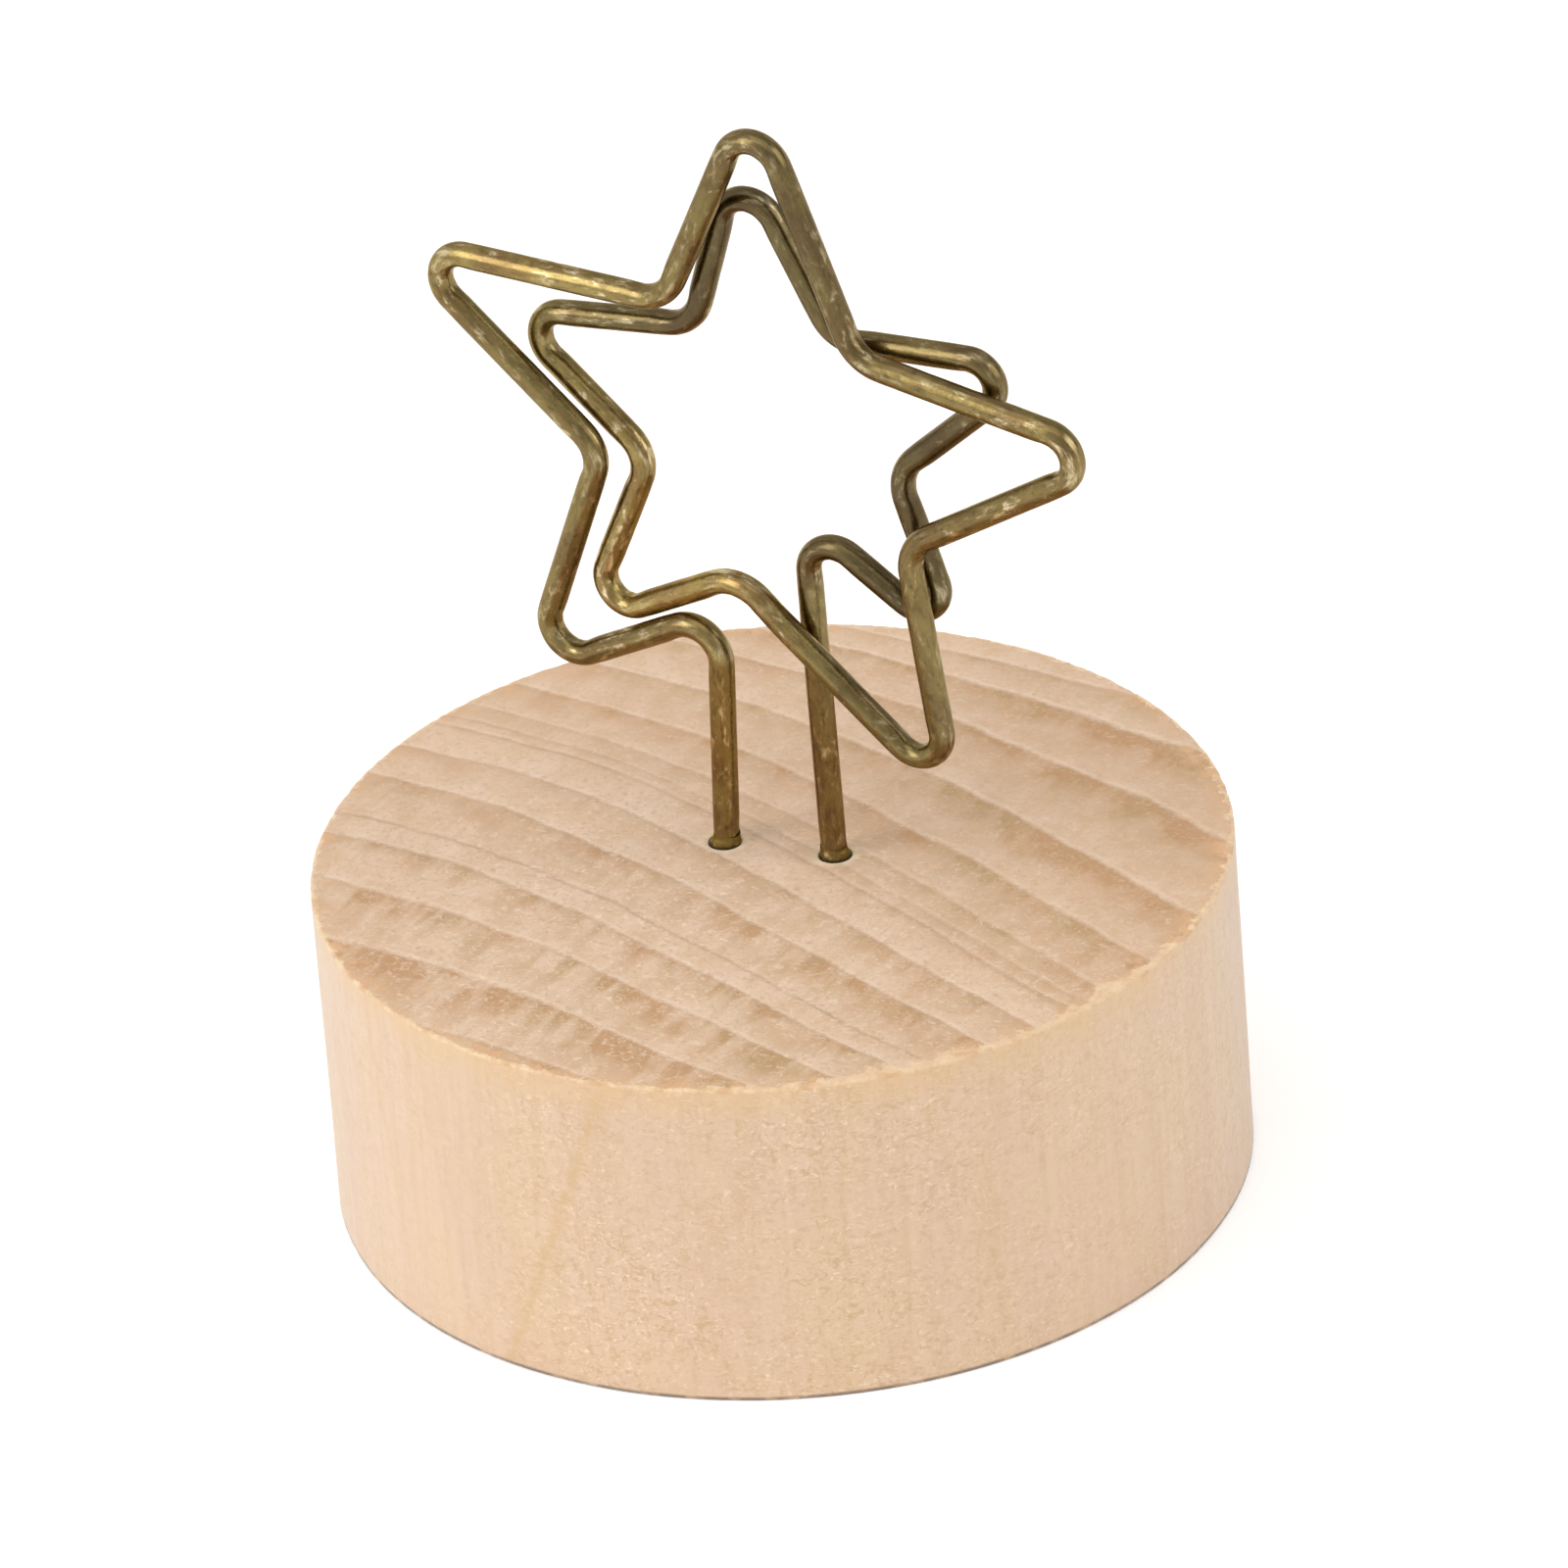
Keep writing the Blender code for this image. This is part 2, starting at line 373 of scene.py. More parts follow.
grain = {
    # a ring's place is where it crosses the block's middle line, in mm; this is its sweep
    "slope": 0.330,
    "bow": 0.00363,
    "twist": -0.000109,
    "fan": -0.00256,
    "fanBow": -0.000085,
    "crest": -0.000448,
    "lean": -0.045,                 # sideways for each mm down the block
    "waver": 0.36,                  # how much the rings' edges shake on top of their slow wander
    "riseFrom": -0.07,              # a band darkens from here to there, past its ring's place
    "riseTo": 0.28,
    "line": (0.10, 0.14),           # the edge line's place and width, and the pale lip's
    "lip": (-0.20, 0.11),
    # lines on the block's side, round it from its front: at the top, at the foot, width, how dark
    "streaks": [(4.6, -3.4, 0.36, 0.80), (-13.5, -11.0, 0.22, 0.35), (17.6, 17.0, 0.20, 0.25)],
    "streakWobble": 1.6,
    "streakFade": 0.9,              # the higher, the sooner the shade beside a streak ends
    # each ring: place, how dark its band starts, how far that fades, how dark its edge line is
    "rings": [
        (-24.9, 0.75, 1.6, 0.45),
        (-20.1, 0.90, 3.2, 0.30),
        (-15.8, 0.70, 3.0, 0.40),
        (-12.1, 0.62, 2.2, 0.60),
        (-10.1, 0.10, 0.8, 0.75),
        (-6.0, 0.72, 2.6, 0.65),
        (-2.3, 0.60, 2.2, 0.60),
        (0.8, 0.40, 0.6, 0.65),
        (1.9, 0.30, 0.7, 0.40),
        (3.7, 0.42, 1.8, 0.35),
        (7.4, 0.66, 2.6, 0.30),
        (12.1, 0.75, 3.2, 0.35),
        (17.3, 0.78, 3.0, 0.35),
        (21.3, 1.00, 2.4, 0.40),
        (23.8, 0.80, 1.4, 0.40),
        (27.5, 0.70, 2.2, 0.30),
    ],
}
block = {
    "sides": 600,
    "sideRows": 50,
    "sharpAngle": 50,               # degrees
    "facePitch": 0.42,              # between points on top
    "undersidePitch": 1.1,
    "topEase": 0.13,                # how far the edges are sanded round
    "footEase": 0.10,
    "easeSteps": 4,
    "holeSides": 40,
    "holeRadius": 0.95,
    "holeEase": 0.07,
    "holeRings": (1.0, 3.0, 7.0),   # depths of the rings of points above its floor
    "holeDepth": 12.0,
    # how far each hole is off the wire that stands in it
    "holeShift": {"left_glue": (-0.125, -0.080), "right_glue": (0.120, -0.090)},
    "mouthStart": 0.55,             # from the hole, where its pale edge starts to show
    "mouthFull": 0.10,              # where it shows in full
    "mouthDepth": 0.5,
}
# fine relief; a sink keeps most of it below the plain surface, and a scale is in marks to a mm
relief = {
    "saw": 0.010,                   # depth of the saw marks and the fibres
    "sawScale": 2.1,
    "stripe": 0.6,                  # of the saw marks' depth, along the rings
    "stripeScale": (3.0, 0.3),      # across the rings, and along them
    "topSink": 0.8,
    "topFade": 0.6,                 # from the rim, where the top's relief is full
    "fibre": 1.4,                   # of the saw marks' depth
    "fibreScale": (2.6, 0.22),      # round the side, and down it
    "fibreSink": 1.2,
    "wave": 0.03,                   # depth of the side's slow unevenness
    "waveScale": (0.16, 0.1),
    "waveSink": 0.6,
    "sideSkin": 0.2,                # how far in from the side its relief reaches, over the eased edges
    "nibble": 0.06,                 # how deep the top edge is nibbled
    "nibbleWay": (0.8, 0.7),        # inwards, and down
    "nibbleReach": (0.75, 0.12),    # from the edge, where nibbles start, and are full
    "nibbleScale": 1.5,
    "smallNibble": 0.7,             # how much the small ones count beside the large ones
    "smallNibbleScale": 3.6,
    "nibbleNoise": (-0.3, 0.9),     # noise at which the edge is whole, and gone
}
tiny = 1e-4  # nearer than this counts as the same place


def mouthPlace(glueNode):
    return holePlace(glueNode) / mm + Vector(block["holeShift"][glueNode])


def ringPlace(x, y, z):
    # x and y from the block's middle, z from its top, so that it is below 0
    g = grain
    swept = y + x * g["slope"] + x * x * g["bow"] + x ** 3 * g["twist"]
    swept += x * y * g["fan"] + x * x * y * g["fanBow"] + x * y * y * g["crest"]
    return swept + z * g["lean"]


def faceNet(loopRadius, loopSides, pitch, holes):
    # even triangles over a disc, round any holes; returns points, triangles and the hole loops
    points = circle(loopRadius, loopSides)
    edges = [(n, (n + 1) % loopSides) for n in range(loopSides)]
    loops = []
    for x, y, radius, sides in holes:
        first = len(points)
        points += circle(radius, sides, x, y)
        loops.append(range(first, first + sides))
        edges += [(first + n, first + (n + 1) % sides) for n in range(sides)]
    rimRoom, holeRoom = pitch * 0.5, pitch * 0.35
    rowStep = pitch * math.sqrt(3) / 2
    rows = int(loopRadius / rowStep)
    columns = int(loopRadius / pitch) + 1
    for row in range(-rows, rows + 1):
        y = row * rowStep
        for column in range(-columns, columns + 1):
            x = (column + (row % 2) / 2) * pitch
            if math.hypot(x, y) > loopRadius - rimRoom:
                continue
            if any(math.hypot(x - hx, y - hy) < r + holeRoom for hx, hy, r, _ in holes):
                continue
            points.append((x, y))
    flat = [Vector(point) for point in points]
    wholeOutput, tolerance = 0, 1e-7
    corners, _, faces, *_ = delaunay_2d_cdt(flat, edges, [], wholeOutput, tolerance)
    triangles = []
    for face in faces:
        x = sum(corners[n].x for n in face) / 3
        y = sum(corners[n].y for n in face) / 3
        if all(math.hypot(x - hx, y - hy) > r for hx, hy, r, _ in holes):
            triangles.append(tuple(face))
    return [(corner.x, corner.y) for corner in corners], triangles, loops


def woodPoints():
    radius = blockRadius / mm
    height = blockTop / mm
    topEase, footEase = block["topEase"], block["footEase"]
    sides = block["sides"]
    points = []
    faces = []

    def ring(r, z, count, x=0.0, y=0.0):
        first = len(points)
        points.extend((px, py, z) for px, py in circle(r, count, x, y))
        return range(first, first + count)

    def eased(step, ease):
        angle = math.pi / 2 * step / block["easeSteps"]
        return ease * (1 - math.sin(angle)), ease * (1 - math.cos(angle))

    holes = []
    for glueNode in ("left_glue", "right_glue"):
        place = mouthPlace(glueNode)
        holes.append((place.x, place.y, block["holeRadius"] + block["holeEase"], block["holeSides"]))
    net, triangles, loops = faceNet(radius - topEase, sides, block["facePitch"], holes)
    points.extend((x, y, height) for x, y in net)
    faces.extend(triangles)
    rings = [range(sides)]
    for step in range(1, block["easeSteps"] + 1):
        inwards, down = eased(step, topEase)
        rings.append(ring(radius - inwards, height - down, sides))
    wallHeight = height - topEase - footEase
    for row in range(1, block["sideRows"]):
        rings.append(ring(radius, height - topEase - wallHeight * row / block["sideRows"], sides))
    for step in range(block["easeSteps"], -1, -1):
        inwards, up = eased(step, footEase)
        rings.append(ring(radius - inwards, up, sides))
    for high, low in zip(rings, rings[1:]):
        stitch(faces, low, high)
    underNet, underTriangles, _ = faceNet(radius - footEase, sides, block["undersidePitch"], [])
    base = len(points)
    points.extend((x, y, 0.0) for x, y in underNet[sides:])
    under = [rings[-1][n] if n < sides else base + n - sides for n in range(len(underNet))]
    faces.extend(tuple(under[n] for n in reversed(face)) for face in underTriangles)
    for (x, y, _, count), loop in zip(holes, loops):
        depths = (block["holeEase"], *block["holeRings"], block["holeDepth"])
        wall = [ring(block["holeRadius"], height - depth, count, x, y) for depth in depths]
        for high, low in zip([loop, *wall], wall):
            stitch(faces, high, low)
        faces.append(tuple(wall[-1]))
    return points, faces


def topRelief(x, y):
    # saw marks, and stripes that run with the rings; whole numbers only tell the noises apart
    across, along = relief["stripeScale"]
    saw = noise.noise(Vector((x * relief["sawScale"], y * relief["sawScale"], 3)))
    stripes = noise.noise(Vector((ringPlace(x, y, 0) * across, x * along, 9)))
    return relief["saw"] * (saw + relief["stripe"] * stripes - relief["topSink"])


def sideRelief(x, y, z):
    # fibres that run down the side, and a slow wave
    fibreRound, fibreDown = relief["fibreScale"]
    waveRound, waveDown = relief["waveScale"]
    fibre = noise.noise(Vector((x * fibreRound, y * fibreRound, z * fibreDown)))
    wave = noise.noise(Vector((x * waveRound, y * waveRound, z * waveDown + 40)))
    fibres = relief["saw"] * (relief["fibre"] * fibre - relief["fibreSink"])
    return fibres + relief["wave"] * (wave - relief["waveSink"])


def edgeNibble(turn):
    # how much of the top edge is gone, from 0 to 1, at a place round the block
    large = noise.noise(turn * relief["nibbleScale"] + Vector((0, 0, 7)))
    small = noise.noise(turn * relief["smallNibbleScale"] + Vector((5, 0, 2)))
    return smooth(large + relief["smallNibble"] * small, *relief["nibbleNoise"])


def woodRelief(x, y, z, radius, height):
    # how far a point of the plain block moves
    reach = math.hypot(x, y)
    fromTop = height - z
    fromRim = radius - reach
    moved = Vector((0, 0, 0))
    outwards = Vector((x, y, 0)) / max(reach, tiny)
    if fromTop < tiny:
        moved.z += topRelief(x, y) * smooth(fromRim, 0, relief["topFade"])
    if z > tiny and fromRim < relief["sideSkin"]:
        moved += outwards * sideRelief(x, y, z)
    edge = smooth(fromRim + fromTop, *relief["nibbleReach"])
    if edge > 0:
        inwards, down = relief["nibbleWay"]
        slant = outwards * inwards + Vector((0, 0, down))
        moved -= slant * relief["nibble"] * edgeNibble(outwards * radius) * edge
    return moved


def makeBlock():
    radius = blockRadius / mm
    height = blockTop / mm
    points, faces = woodPoints()
    mouths = [mouthPlace(glueNode) for glueNode in block["holeShift"]]
    mouthStart = block["holeRadius"] + block["mouthStart"]
    mouthFull = block["holeRadius"] + block["mouthFull"]
    plainSide = radius * 0.9  # nearer the middle there are only holes between the top and the foot
    rings, mouthShares, shaped = [], [], []
    for x, y, z in points:
        rings.append(ringPlace(x, y, z - height))
        toMouth = min(math.hypot(x - mouth.x, y - mouth.y) for mouth in mouths)
        onTop = z > height - block["mouthDepth"]
        mouthShares.append(smooth(toMouth, mouthStart, mouthFull) if onTop else 0.0)
        inHole = tiny < z < height - tiny and math.hypot(x, y) < plainSide
        move = Vector((0, 0, 0)) if inHole else woodRelief(x, y, z, radius, height)
        shaped.append((Vector((x, y, z)) + move) * mm)
    piece = addPiece("turnedBlock", shaped, faces, block["sharpAngle"])
    storeNumbers(piece, "ringPlace", rings)
    storeNumbers(piece, "mouth", mouthShares)
    return piece


# colours are as the finish is seen in plain light
wood = {
    "endPale": (0.788, 0.570, 0.400),
    "endWarm": (0.735, 0.502, 0.316),   # the pale wood's warmer patches
    "endTan": (0.470, 0.264, 0.092),
    "endOrange": (0.508, 0.258, 0.092), # redder stretches of the dark bands
    "endLine": (0.430, 0.245, 0.125),
    "ray": (0.560, 0.342, 0.190),
    "endFleck": (0.910, 0.730, 0.540),
    "endPore": (0.560, 0.352, 0.208),
    "side": (0.795, 0.580, 0.388),
    "sideBlush": (0.795, 0.566, 0.408),
    "sideFibre": (0.660, 0.430, 0.240),
    "sideFleck": (0.900, 0.700, 0.500),
    "streak": (0.700, 0.470, 0.250),
    # painted highlight: a light line along the top edge, laid on in dashes
    "edge": (0.900, 0.685, 0.415),
    "warmth": (0.800, 0.530, 0.280),    # the side just under its top edge
    "mouth": (0.940, 0.745, 0.480),     # paler round the holes' mouths
    "orange": (0.700, 0.400, 0.190),    # where dark bands run out at the edge
    "foot": (0.270, 0.195, 0.135),      # painted shade: the bottom edge darkened where the floor shades it
    "roughness": 0.62,
    "roughnessChange": 0.08,            # smoother in the raised fibres, rougher beside them
    "shine": 0.35,
    "fuzz": 0.44,                       # sheen of the raised fibres
    "fuzzRoughness": 0.5,
    "relief": 0.00006,                  # m
    "reliefStrength": 0.5,
}
# the wood's marks: stretch along x, y and z, then scale, detail, roughness and distortion of the noise
marks = {
    "wander": ((1, 1, 1), 0.16, 2.0),
    "waver": ((1, 1, 1), 2.2, 3.0),
    "rayPatch": ((1.0, 0.55, 0.55), 0.60, 1.5, 0.50),
    "longRay": ((1.0, 0.13, 0.13), 1.00, 2.5, 0.60),
    "cloud": ((1, 1, 1), 0.40, 3.0),
    "ray": ((1.0, 0.10, 0.10), 1.7, 3.0, 0.65),
    "pore": ((1, 1, 1), 2.5, 4.0, 0.68, 0.5),
    "stroke": ((0.9, 1.1, 1.0), 2.1, 3.0, 0.60, 1.4),
    "tone": ((1, 1, 1), 0.50, 4.0, 0.65),
    "bandHue": ((1, 1, 1), 0.16, 3.0, 0.60),
    "endTint": ((1, 1, 1), 0.9, 3.0),
    "fibre": ((1.0, 1.0, 0.06), 1.5, 4.0, 0.65),
    "hair": ((1.0, 1.0, 0.7), 2.2, 4.0, 0.62, 0.8),
    "crumb": ((0.8, 0.8, 1.6), 1.5, 3.0, 0.60, 1.2),
    "speck": ((0.8, 0.8, 1.3), 3.2, 2.5, 0.60, 1.0),
    "blush": ((1.0, 1.0, 0.4), 0.22, 3.0, 0.60),
    "coarse": ((1, 1, 1), 0.14, 2.0),
    "wobble": ((0.1, 0.1, 1.0), 0.28, 3.0, 0.60),
    "warmth": ((1.0, 1.0, 0.6), 0.45, 2.0),
    "foot": ((1, 1, 1), 1.1, 2.0),
    "spill": ((1, 1, 0), 1.1, 4.0, 0.65),
    "wideSpill": ((1, 1, 0), 0.45, 2.0),
    "highlightDashMark": ((1, 1, 1), 1.3, 4.0, 0.65),
    "singe": ((1, 1, 1), 0.8, 2.0),
}
# how strong the layers of colour are; backPatches and backRays are of what they are at the front
strength = {
    "bands": 0.86,
    "backPatches": 0.25,
    "lines": 0.80,
    "lips": 0.30,
    "backRays": 0.30,
    "raysOutsideBands": 0.30,
    "tintInBands": 1.60,
    "tintOutsideBands": 0.20,
    "sideBands": 0.16,
    "sideLines": 0.12,
    "rightHighlightDashes": 0.50,
    "mouth": 0.80,
    "strokeRelief": 0.7,
    "hairRelief": 0.6,
    "fibreRelief": 0.4,
}
# how the side's colour meets the top's
spillOver = {
    "always": 0.09,                 # mm, even where nothing spills
    "sharp": 7.7,                   # the border, as it is nearly everywhere
    "soft": 2.5,                    # and at the right of the front
    "edgeFollows": 0.8,             # of the spill moves the pale edge inwards
}
# how a mark, or a place in mm, gives a share: from here to there, and from which share to which (or 0 to 1)
shares = {
    "front": (4, -12),
    "frontRight": (22, 0, 0.40, 1.00),
    "bandPatches": (0.38, 0.62, -0.60, 0.60),
    "bandClouds": (0.30, 0.70, 0.75, 1.20),
    "bandsRight": (-6, 14, 1.12, 1.54),
    "bandsBack": (8, 22, 1.00, 0.84),
    "lineClouds": (0.25, 0.70, 0.40, 1.20),
    "rays": (0.48, 0.72, 0.00, 0.30),
    "tone": (0.38, 0.62),
    "toneRight": (8, 24, 0.00, 0.08),
    "bandHue": (0.42, 0.58),
    "pores": (0.52, 0.28),
    "poresFront": (14, -8, 0.64, 0.84),
    "strokes": (0.48, 0.80),
    "strokesLeft": (12, -2, 0.50, 0.60),
    "strokesFarLeft": (-22, -8, 0.55, 1.00),
    "strokesFront": (10, -10, 0.62, 1.20),
    "endTint": (0.35, 0.60, 0.00, 0.60),
    "endTintInset": (2.2, 0.1),
    "blush": (0.38, 0.62),
    "fibres": (0.38, 0.72),
    "fibresBack": (-12, 12, 0.28, 0.42),
    "coarse": (0.35, 0.60, 0.60, 1.20),
    "coarseMiddle": (-8, 5, 0.40, 1.15),
    "coarseRight": (12, 34, 1.00, 0.60),
    "crumbs": (0.52, 0.28, 0.00, 0.75),
    "hairs": (0.50, 0.28, 0.00, 0.70),
    "specks": (0.52, 0.74, 0.00, 0.80),
    "besideStreak": (-0.1, 0.2, 0.00, 0.35),
    "streakCrumbs": (0.66, 0.40, 0.30, 1.00),
    "warmth": (0.3, 0.7, 0.50, 1.20),
    "warmthDrop": (2.6, 0.2, 0.00, 0.55),
    "foot": (0.25, 0.60, 0.35, 1.00),
    "footShadeHeight": (0.32, 0.14),
    "spill": (0.42, 0.70),
    "spillRight": (-6, 14, 0.30, 0.60),
    "wideSpill": (0.35, 0.65, 0.10, 0.80),
    "rightPart": (8, 18),
    "frontPart": (4, -5),
    "edgeInset": (0.26, 0.10),
    "edgeDrop": (0.26, 0.08),
    "highlightDashes": (0.44, 0.60, 0.00, 0.75),
    "singeBands": (0.25, 0.80),
    "singe": (0.46, 0.60, 0.00, 0.85),
    "roughHairs": (0.3, 0.7),
}


def ringGroup():
    # one growth ring: a pale lip above its place, then a thin line and a band that fades downwards
    group = bpy.data.node_groups.new("growthRing", "ShaderNodeTree")
    for name in ("Here", "Place", "Fade"):
        group.interface.new_socket(name, in_out="INPUT", socket_type="NodeSocketFloat")
    for name in ("Band", "Line", "Lip"):
        group.interface.new_socket(name, in_out="OUTPUT", socket_type="NodeSocketFloat")
    start = group.nodes.new("NodeGroupInput")
    end = group.nodes.new("NodeGroupOutput")
    nodes = Nodes(group)
    past = nodes.math("SUBTRACT", start.outputs["Place"], start.outputs["Here"])
    below = nodes.times(nodes.math("MAXIMUM", past, 0.0), -1.0)
    fading = nodes.math("EXPONENT", nodes.math("DIVIDE", below, start.outputs["Fade"]))
    rise = nodes.ease(past, grain["riseFrom"], grain["riseTo"])
    nodes.join(nodes.times(rise, fading), end.inputs["Band"])
    for name, (place, width) in (("Line", grain["line"]), ("Lip", grain["lip"])):
        offset = nodes.math("DIVIDE", nodes.math("SUBTRACT", past, place), width)
        nodes.join(nodes.math("EXPONENT", nodes.times(offset, offset, -1.0)), end.inputs[name])
    return group


class PaleWood(Finish):
    def __init__(self, name):
        super().__init__(name)
        self.where = self.place()
        self.x, self.y, self.z = self.parts(self.where)
        reach = self.node("VectorMath", operation="LENGTH")
        self.join(self.scaled(self.where, (1, 1, 0)), reach.inputs[0])
        self.inset = self.math("SUBTRACT", blockRadius / mm, reach.outputs["Value"])
        self.drop = self.math("SUBTRACT", blockTop / mm, self.z)
        self.arc = self.times(self.math("ARCTAN2", self.x, self.times(self.y, -1.0)), blockRadius / mm)
        self.strokes = self.woodMark("stroke")
        self.hairs = self.woodMark("hair")
        self.fibres = self.woodMark("fibre")
        self.crumbs = self.woodMark("crumb")

    def woodMark(self, name):
        return self.mark(self.where, *marks[name])

    def share(self, value, name):
        return self.ease(value, *shares[name])

    def addRings(self):
        # the slow wander and the waver are noise round 0.5, so their middle is taken off
        wander = self.plus(self.woodMark("wander"), self.times(self.woodMark("waver"), grain["waver"]))
        here = self.plus(self.stored("ringPlace"), wander, -0.5 * (1 + grain["waver"]))
        group = ringGroup()
        bands, lines, lips = 0.0, 0.0, 0.0
        for place, band, fade, line in grain["rings"]:
            ring = self.node("Group")
            ring.node_tree = group
            self.join(here, ring.inputs["Here"])
            ring.inputs["Place"].default_value = place
            ring.inputs["Fade"].default_value = fade
            bands = self.math("MULTIPLY_ADD", ring.outputs["Band"], band, bands)
            lines = self.math("MULTIPLY_ADD", ring.outputs["Line"], line, lines)
            lips = self.math("MULTIPLY_ADD", ring.outputs["Lip"], band, lips)
        return bands, lines, lips

    def breakRings(self, bands, lines, front):
        # the bands break up along the rays, and are darker to the right
        rays = self.times(self.plus(self.woodMark("rayPatch"), self.woodMark("longRay")), 0.5)
        patches = self.share(rays, "bandPatches")
        patches = self.times(patches, self.between(front, strength["backPatches"], 1.0))
        bands = self.plus(bands, self.times(bands, patches))
        bands = self.times(bands, self.share(self.x, "bandsRight"), self.share(self.y, "bandsBack"))
        cloud = self.woodMark("cloud")
        bands = self.times(bands, self.share(cloud, "bandClouds"))
        return bands, self.times(lines, self.share(cloud, "lineClouds"))

    def endGrain(self, bands, lines, lips, front):
        times, plus, share = self.times, self.plus, self.share
        tone = plus(share(self.woodMark("tone"), "tone"), share(self.x, "toneRight"))
        top = self.blend(tone, wood["endPale"], wood["endWarm"])
        bandHue = share(self.woodMark("bandHue"), "bandHue")
        bandColour = self.blend(bandHue, wood["endTan"], wood["endOrange"])
        top = self.blend(self.capped(bands, strength["bands"]), top, bandColour)
        rays = times(share(self.woodMark("ray"), "rays"), self.between(front, strength["backRays"], 1.0))
        rays = times(rays, plus(bands, strength["raysOutsideBands"]))
        top = self.blend(rays, top, wood["ray"])
        top = self.blend(self.capped(lips, strength["lips"]), top, wood["endFleck"])
        top = self.blend(self.capped(lines, strength["lines"]), top, wood["endLine"])
        pores = times(share(self.woodMark("pore"), "pores"), share(self.y, "poresFront"))
        top = self.blend(pores, top, wood["endPore"])
        sideways = times(share(self.x, "strokesLeft"), share(self.x, "strokesFarLeft"))
        strokes = times(share(self.strokes, "strokes"), sideways, share(self.y, "strokesFront"))
        top = self.blend(strokes, top, wood["endFleck"])
        inBands = plus(times(bands, strength["tintInBands"]), strength["tintOutsideBands"])
        nearRim = times(share(self.inset, "endTintInset"), inBands)
        tint = self.capped(nearRim, share(self.woodMark("endTint"), "endTint"))
        return self.blend(tint, top, wood["orange"])

    def longGrain(self, bands, lines):
        times, share = self.times, self.share
        side = self.blend(share(self.woodMark("blush"), "blush"), wood["side"], wood["sideBlush"])
        fibres = times(share(self.fibres, "fibres"), share(self.y, "fibresBack"))
        side = self.blend(fibres, side, wood["sideFibre"])
        rings = self.plus(times(bands, strength["sideBands"]), times(lines, strength["sideLines"]))
        side = self.blend(rings, side, wood["sideFibre"])
        coarse = times(share(self.woodMark("coarse"), "coarse"), share(self.arc, "coarseMiddle"))
        coarse = times(coarse, share(self.arc, "coarseRight"))
        side = self.blend(times(share(self.crumbs, "crumbs"), coarse), side, wood["sideFibre"])
        side = self.blend(times(share(self.hairs, "hairs"), coarse), side, wood["sideFibre"])
        side = self.blend(times(share(self.woodMark("speck"), "specks"), coarse), side, wood["sideFleck"])
        side = self.addStreaks(side)
        warmth = times(share(self.drop, "warmthDrop"), share(self.woodMark("warmth"), "warmth"))
        side = self.blend(warmth, side, wood["warmth"])
        # painted shade: the side darkens along its bottom edge, just above the floor
        foot = times(share(self.z, "footShadeHeight"), share(self.woodMark("foot"), "foot"))
        return self.blend(foot, side, wood["foot"])

    def addStreaks(self, side):
        # each streak is a thin dark line, with a shade that fades away on its right
        times = self.times
        wobble = times(self.woodMark("wobble"), grain["streakWobble"])
        for atTop, atFoot, width, darkness in grain["streaks"]:
            sideways = times(self.drop, (atTop - atFoot) * mm / blockTop)
            offset = self.plus(self.arc, wobble, sideways, -grain["streakWobble"] / 2 - atTop)
            narrow = times(offset, 1 / width)
            streak = self.math("EXPONENT", times(narrow, narrow, -1.0))
            faded = self.math("EXPONENT", times(offset, -grain["streakFade"]))
            beside = times(faded, self.share(offset, "besideStreak"))
            shown = times(self.plus(streak, beside), darkness, self.share(self.crumbs, "streakCrumbs"))
            side = self.blend(shown, side, wood["streak"])
        return side

    def joinGrains(self, top, side, bands):
        # the pale side spills over the top's edge here and there, most at the right of the front
        times, plus, share = self.times, self.plus, self.share
        rightFront = times(share(self.x, "rightPart"), share(self.y, "frontPart"))
        spill = times(share(self.woodMark("spill"), "spill"), share(self.x, "spillRight"))
        spill = plus(spill, times(share(self.woodMark("wideSpill"), "wideSpill"), rightFront))
        past = plus(self.inset, times(spill, -1.0), -spillOver["always"])
        sharp = self.between(rightFront, spillOver["sharp"], spillOver["soft"])
        onTop = self.ease(times(past, sharp), 0.0, 1.0)
        colour = self.blend(onTop, side, top)
        # painted highlight: the edge colour paints a thin light line along the top edge, broken into dashes
        fromEdge = plus(self.inset, times(spill, -spillOver["edgeFollows"]))
        edge = times(share(fromEdge, "edgeInset"), share(self.drop, "edgeDrop"))
        fewer = self.between(rightFront, 1.0, strength["rightHighlightDashes"])
        highlightDashes = times(share(self.woodMark("highlightDashMark"), "highlightDashes"), fewer)
        colour = self.blend(times(edge, highlightDashes), colour, wood["edge"])
        singed = times(edge, share(bands, "singeBands"), share(self.woodMark("singe"), "singe"))
        colour = self.blend(singed, colour, wood["orange"])
        return self.blend(times(self.stored("mouth"), strength["mouth"]), colour, wood["mouth"])


def woodFinish():
    finish = PaleWood("paleWood")
    front = finish.times(finish.share(finish.y, "front"), finish.share(finish.x, "frontRight"))
    bands, lines, lips = finish.addRings()
    bands, lines = finish.breakRings(bands, lines, front)
    top = finish.endGrain(bands, lines, lips, front)
    side = finish.longGrain(bands, lines)
    finish.join(finish.joinGrains(top, side, bands), finish.shader.inputs["Base Color"])
    rough, change = wood["roughness"], wood["roughnessChange"]
    roughness = finish.ease(finish.hairs, *shares["roughHairs"], rough + change, rough - change)
    finish.join(roughness, finish.shader.inputs["Roughness"])
    finish.shader.inputs["Specular IOR Level"].default_value = wood["shine"]
    finish.shader.inputs["Sheen Weight"].default_value = wood["fuzz"]
    finish.shader.inputs["Sheen Roughness"].default_value = wood["fuzzRoughness"]
    strokes = finish.times(finish.strokes, strength["strokeRelief"])
    hairs = finish.times(finish.hairs, strength["hairRelief"])
    fibres = finish.times(finish.fibres, strength["fibreRelief"])
    finish.bump(finish.plus(strokes, hairs, fibres), wood["relief"], wood["reliefStrength"])
    return finish.material


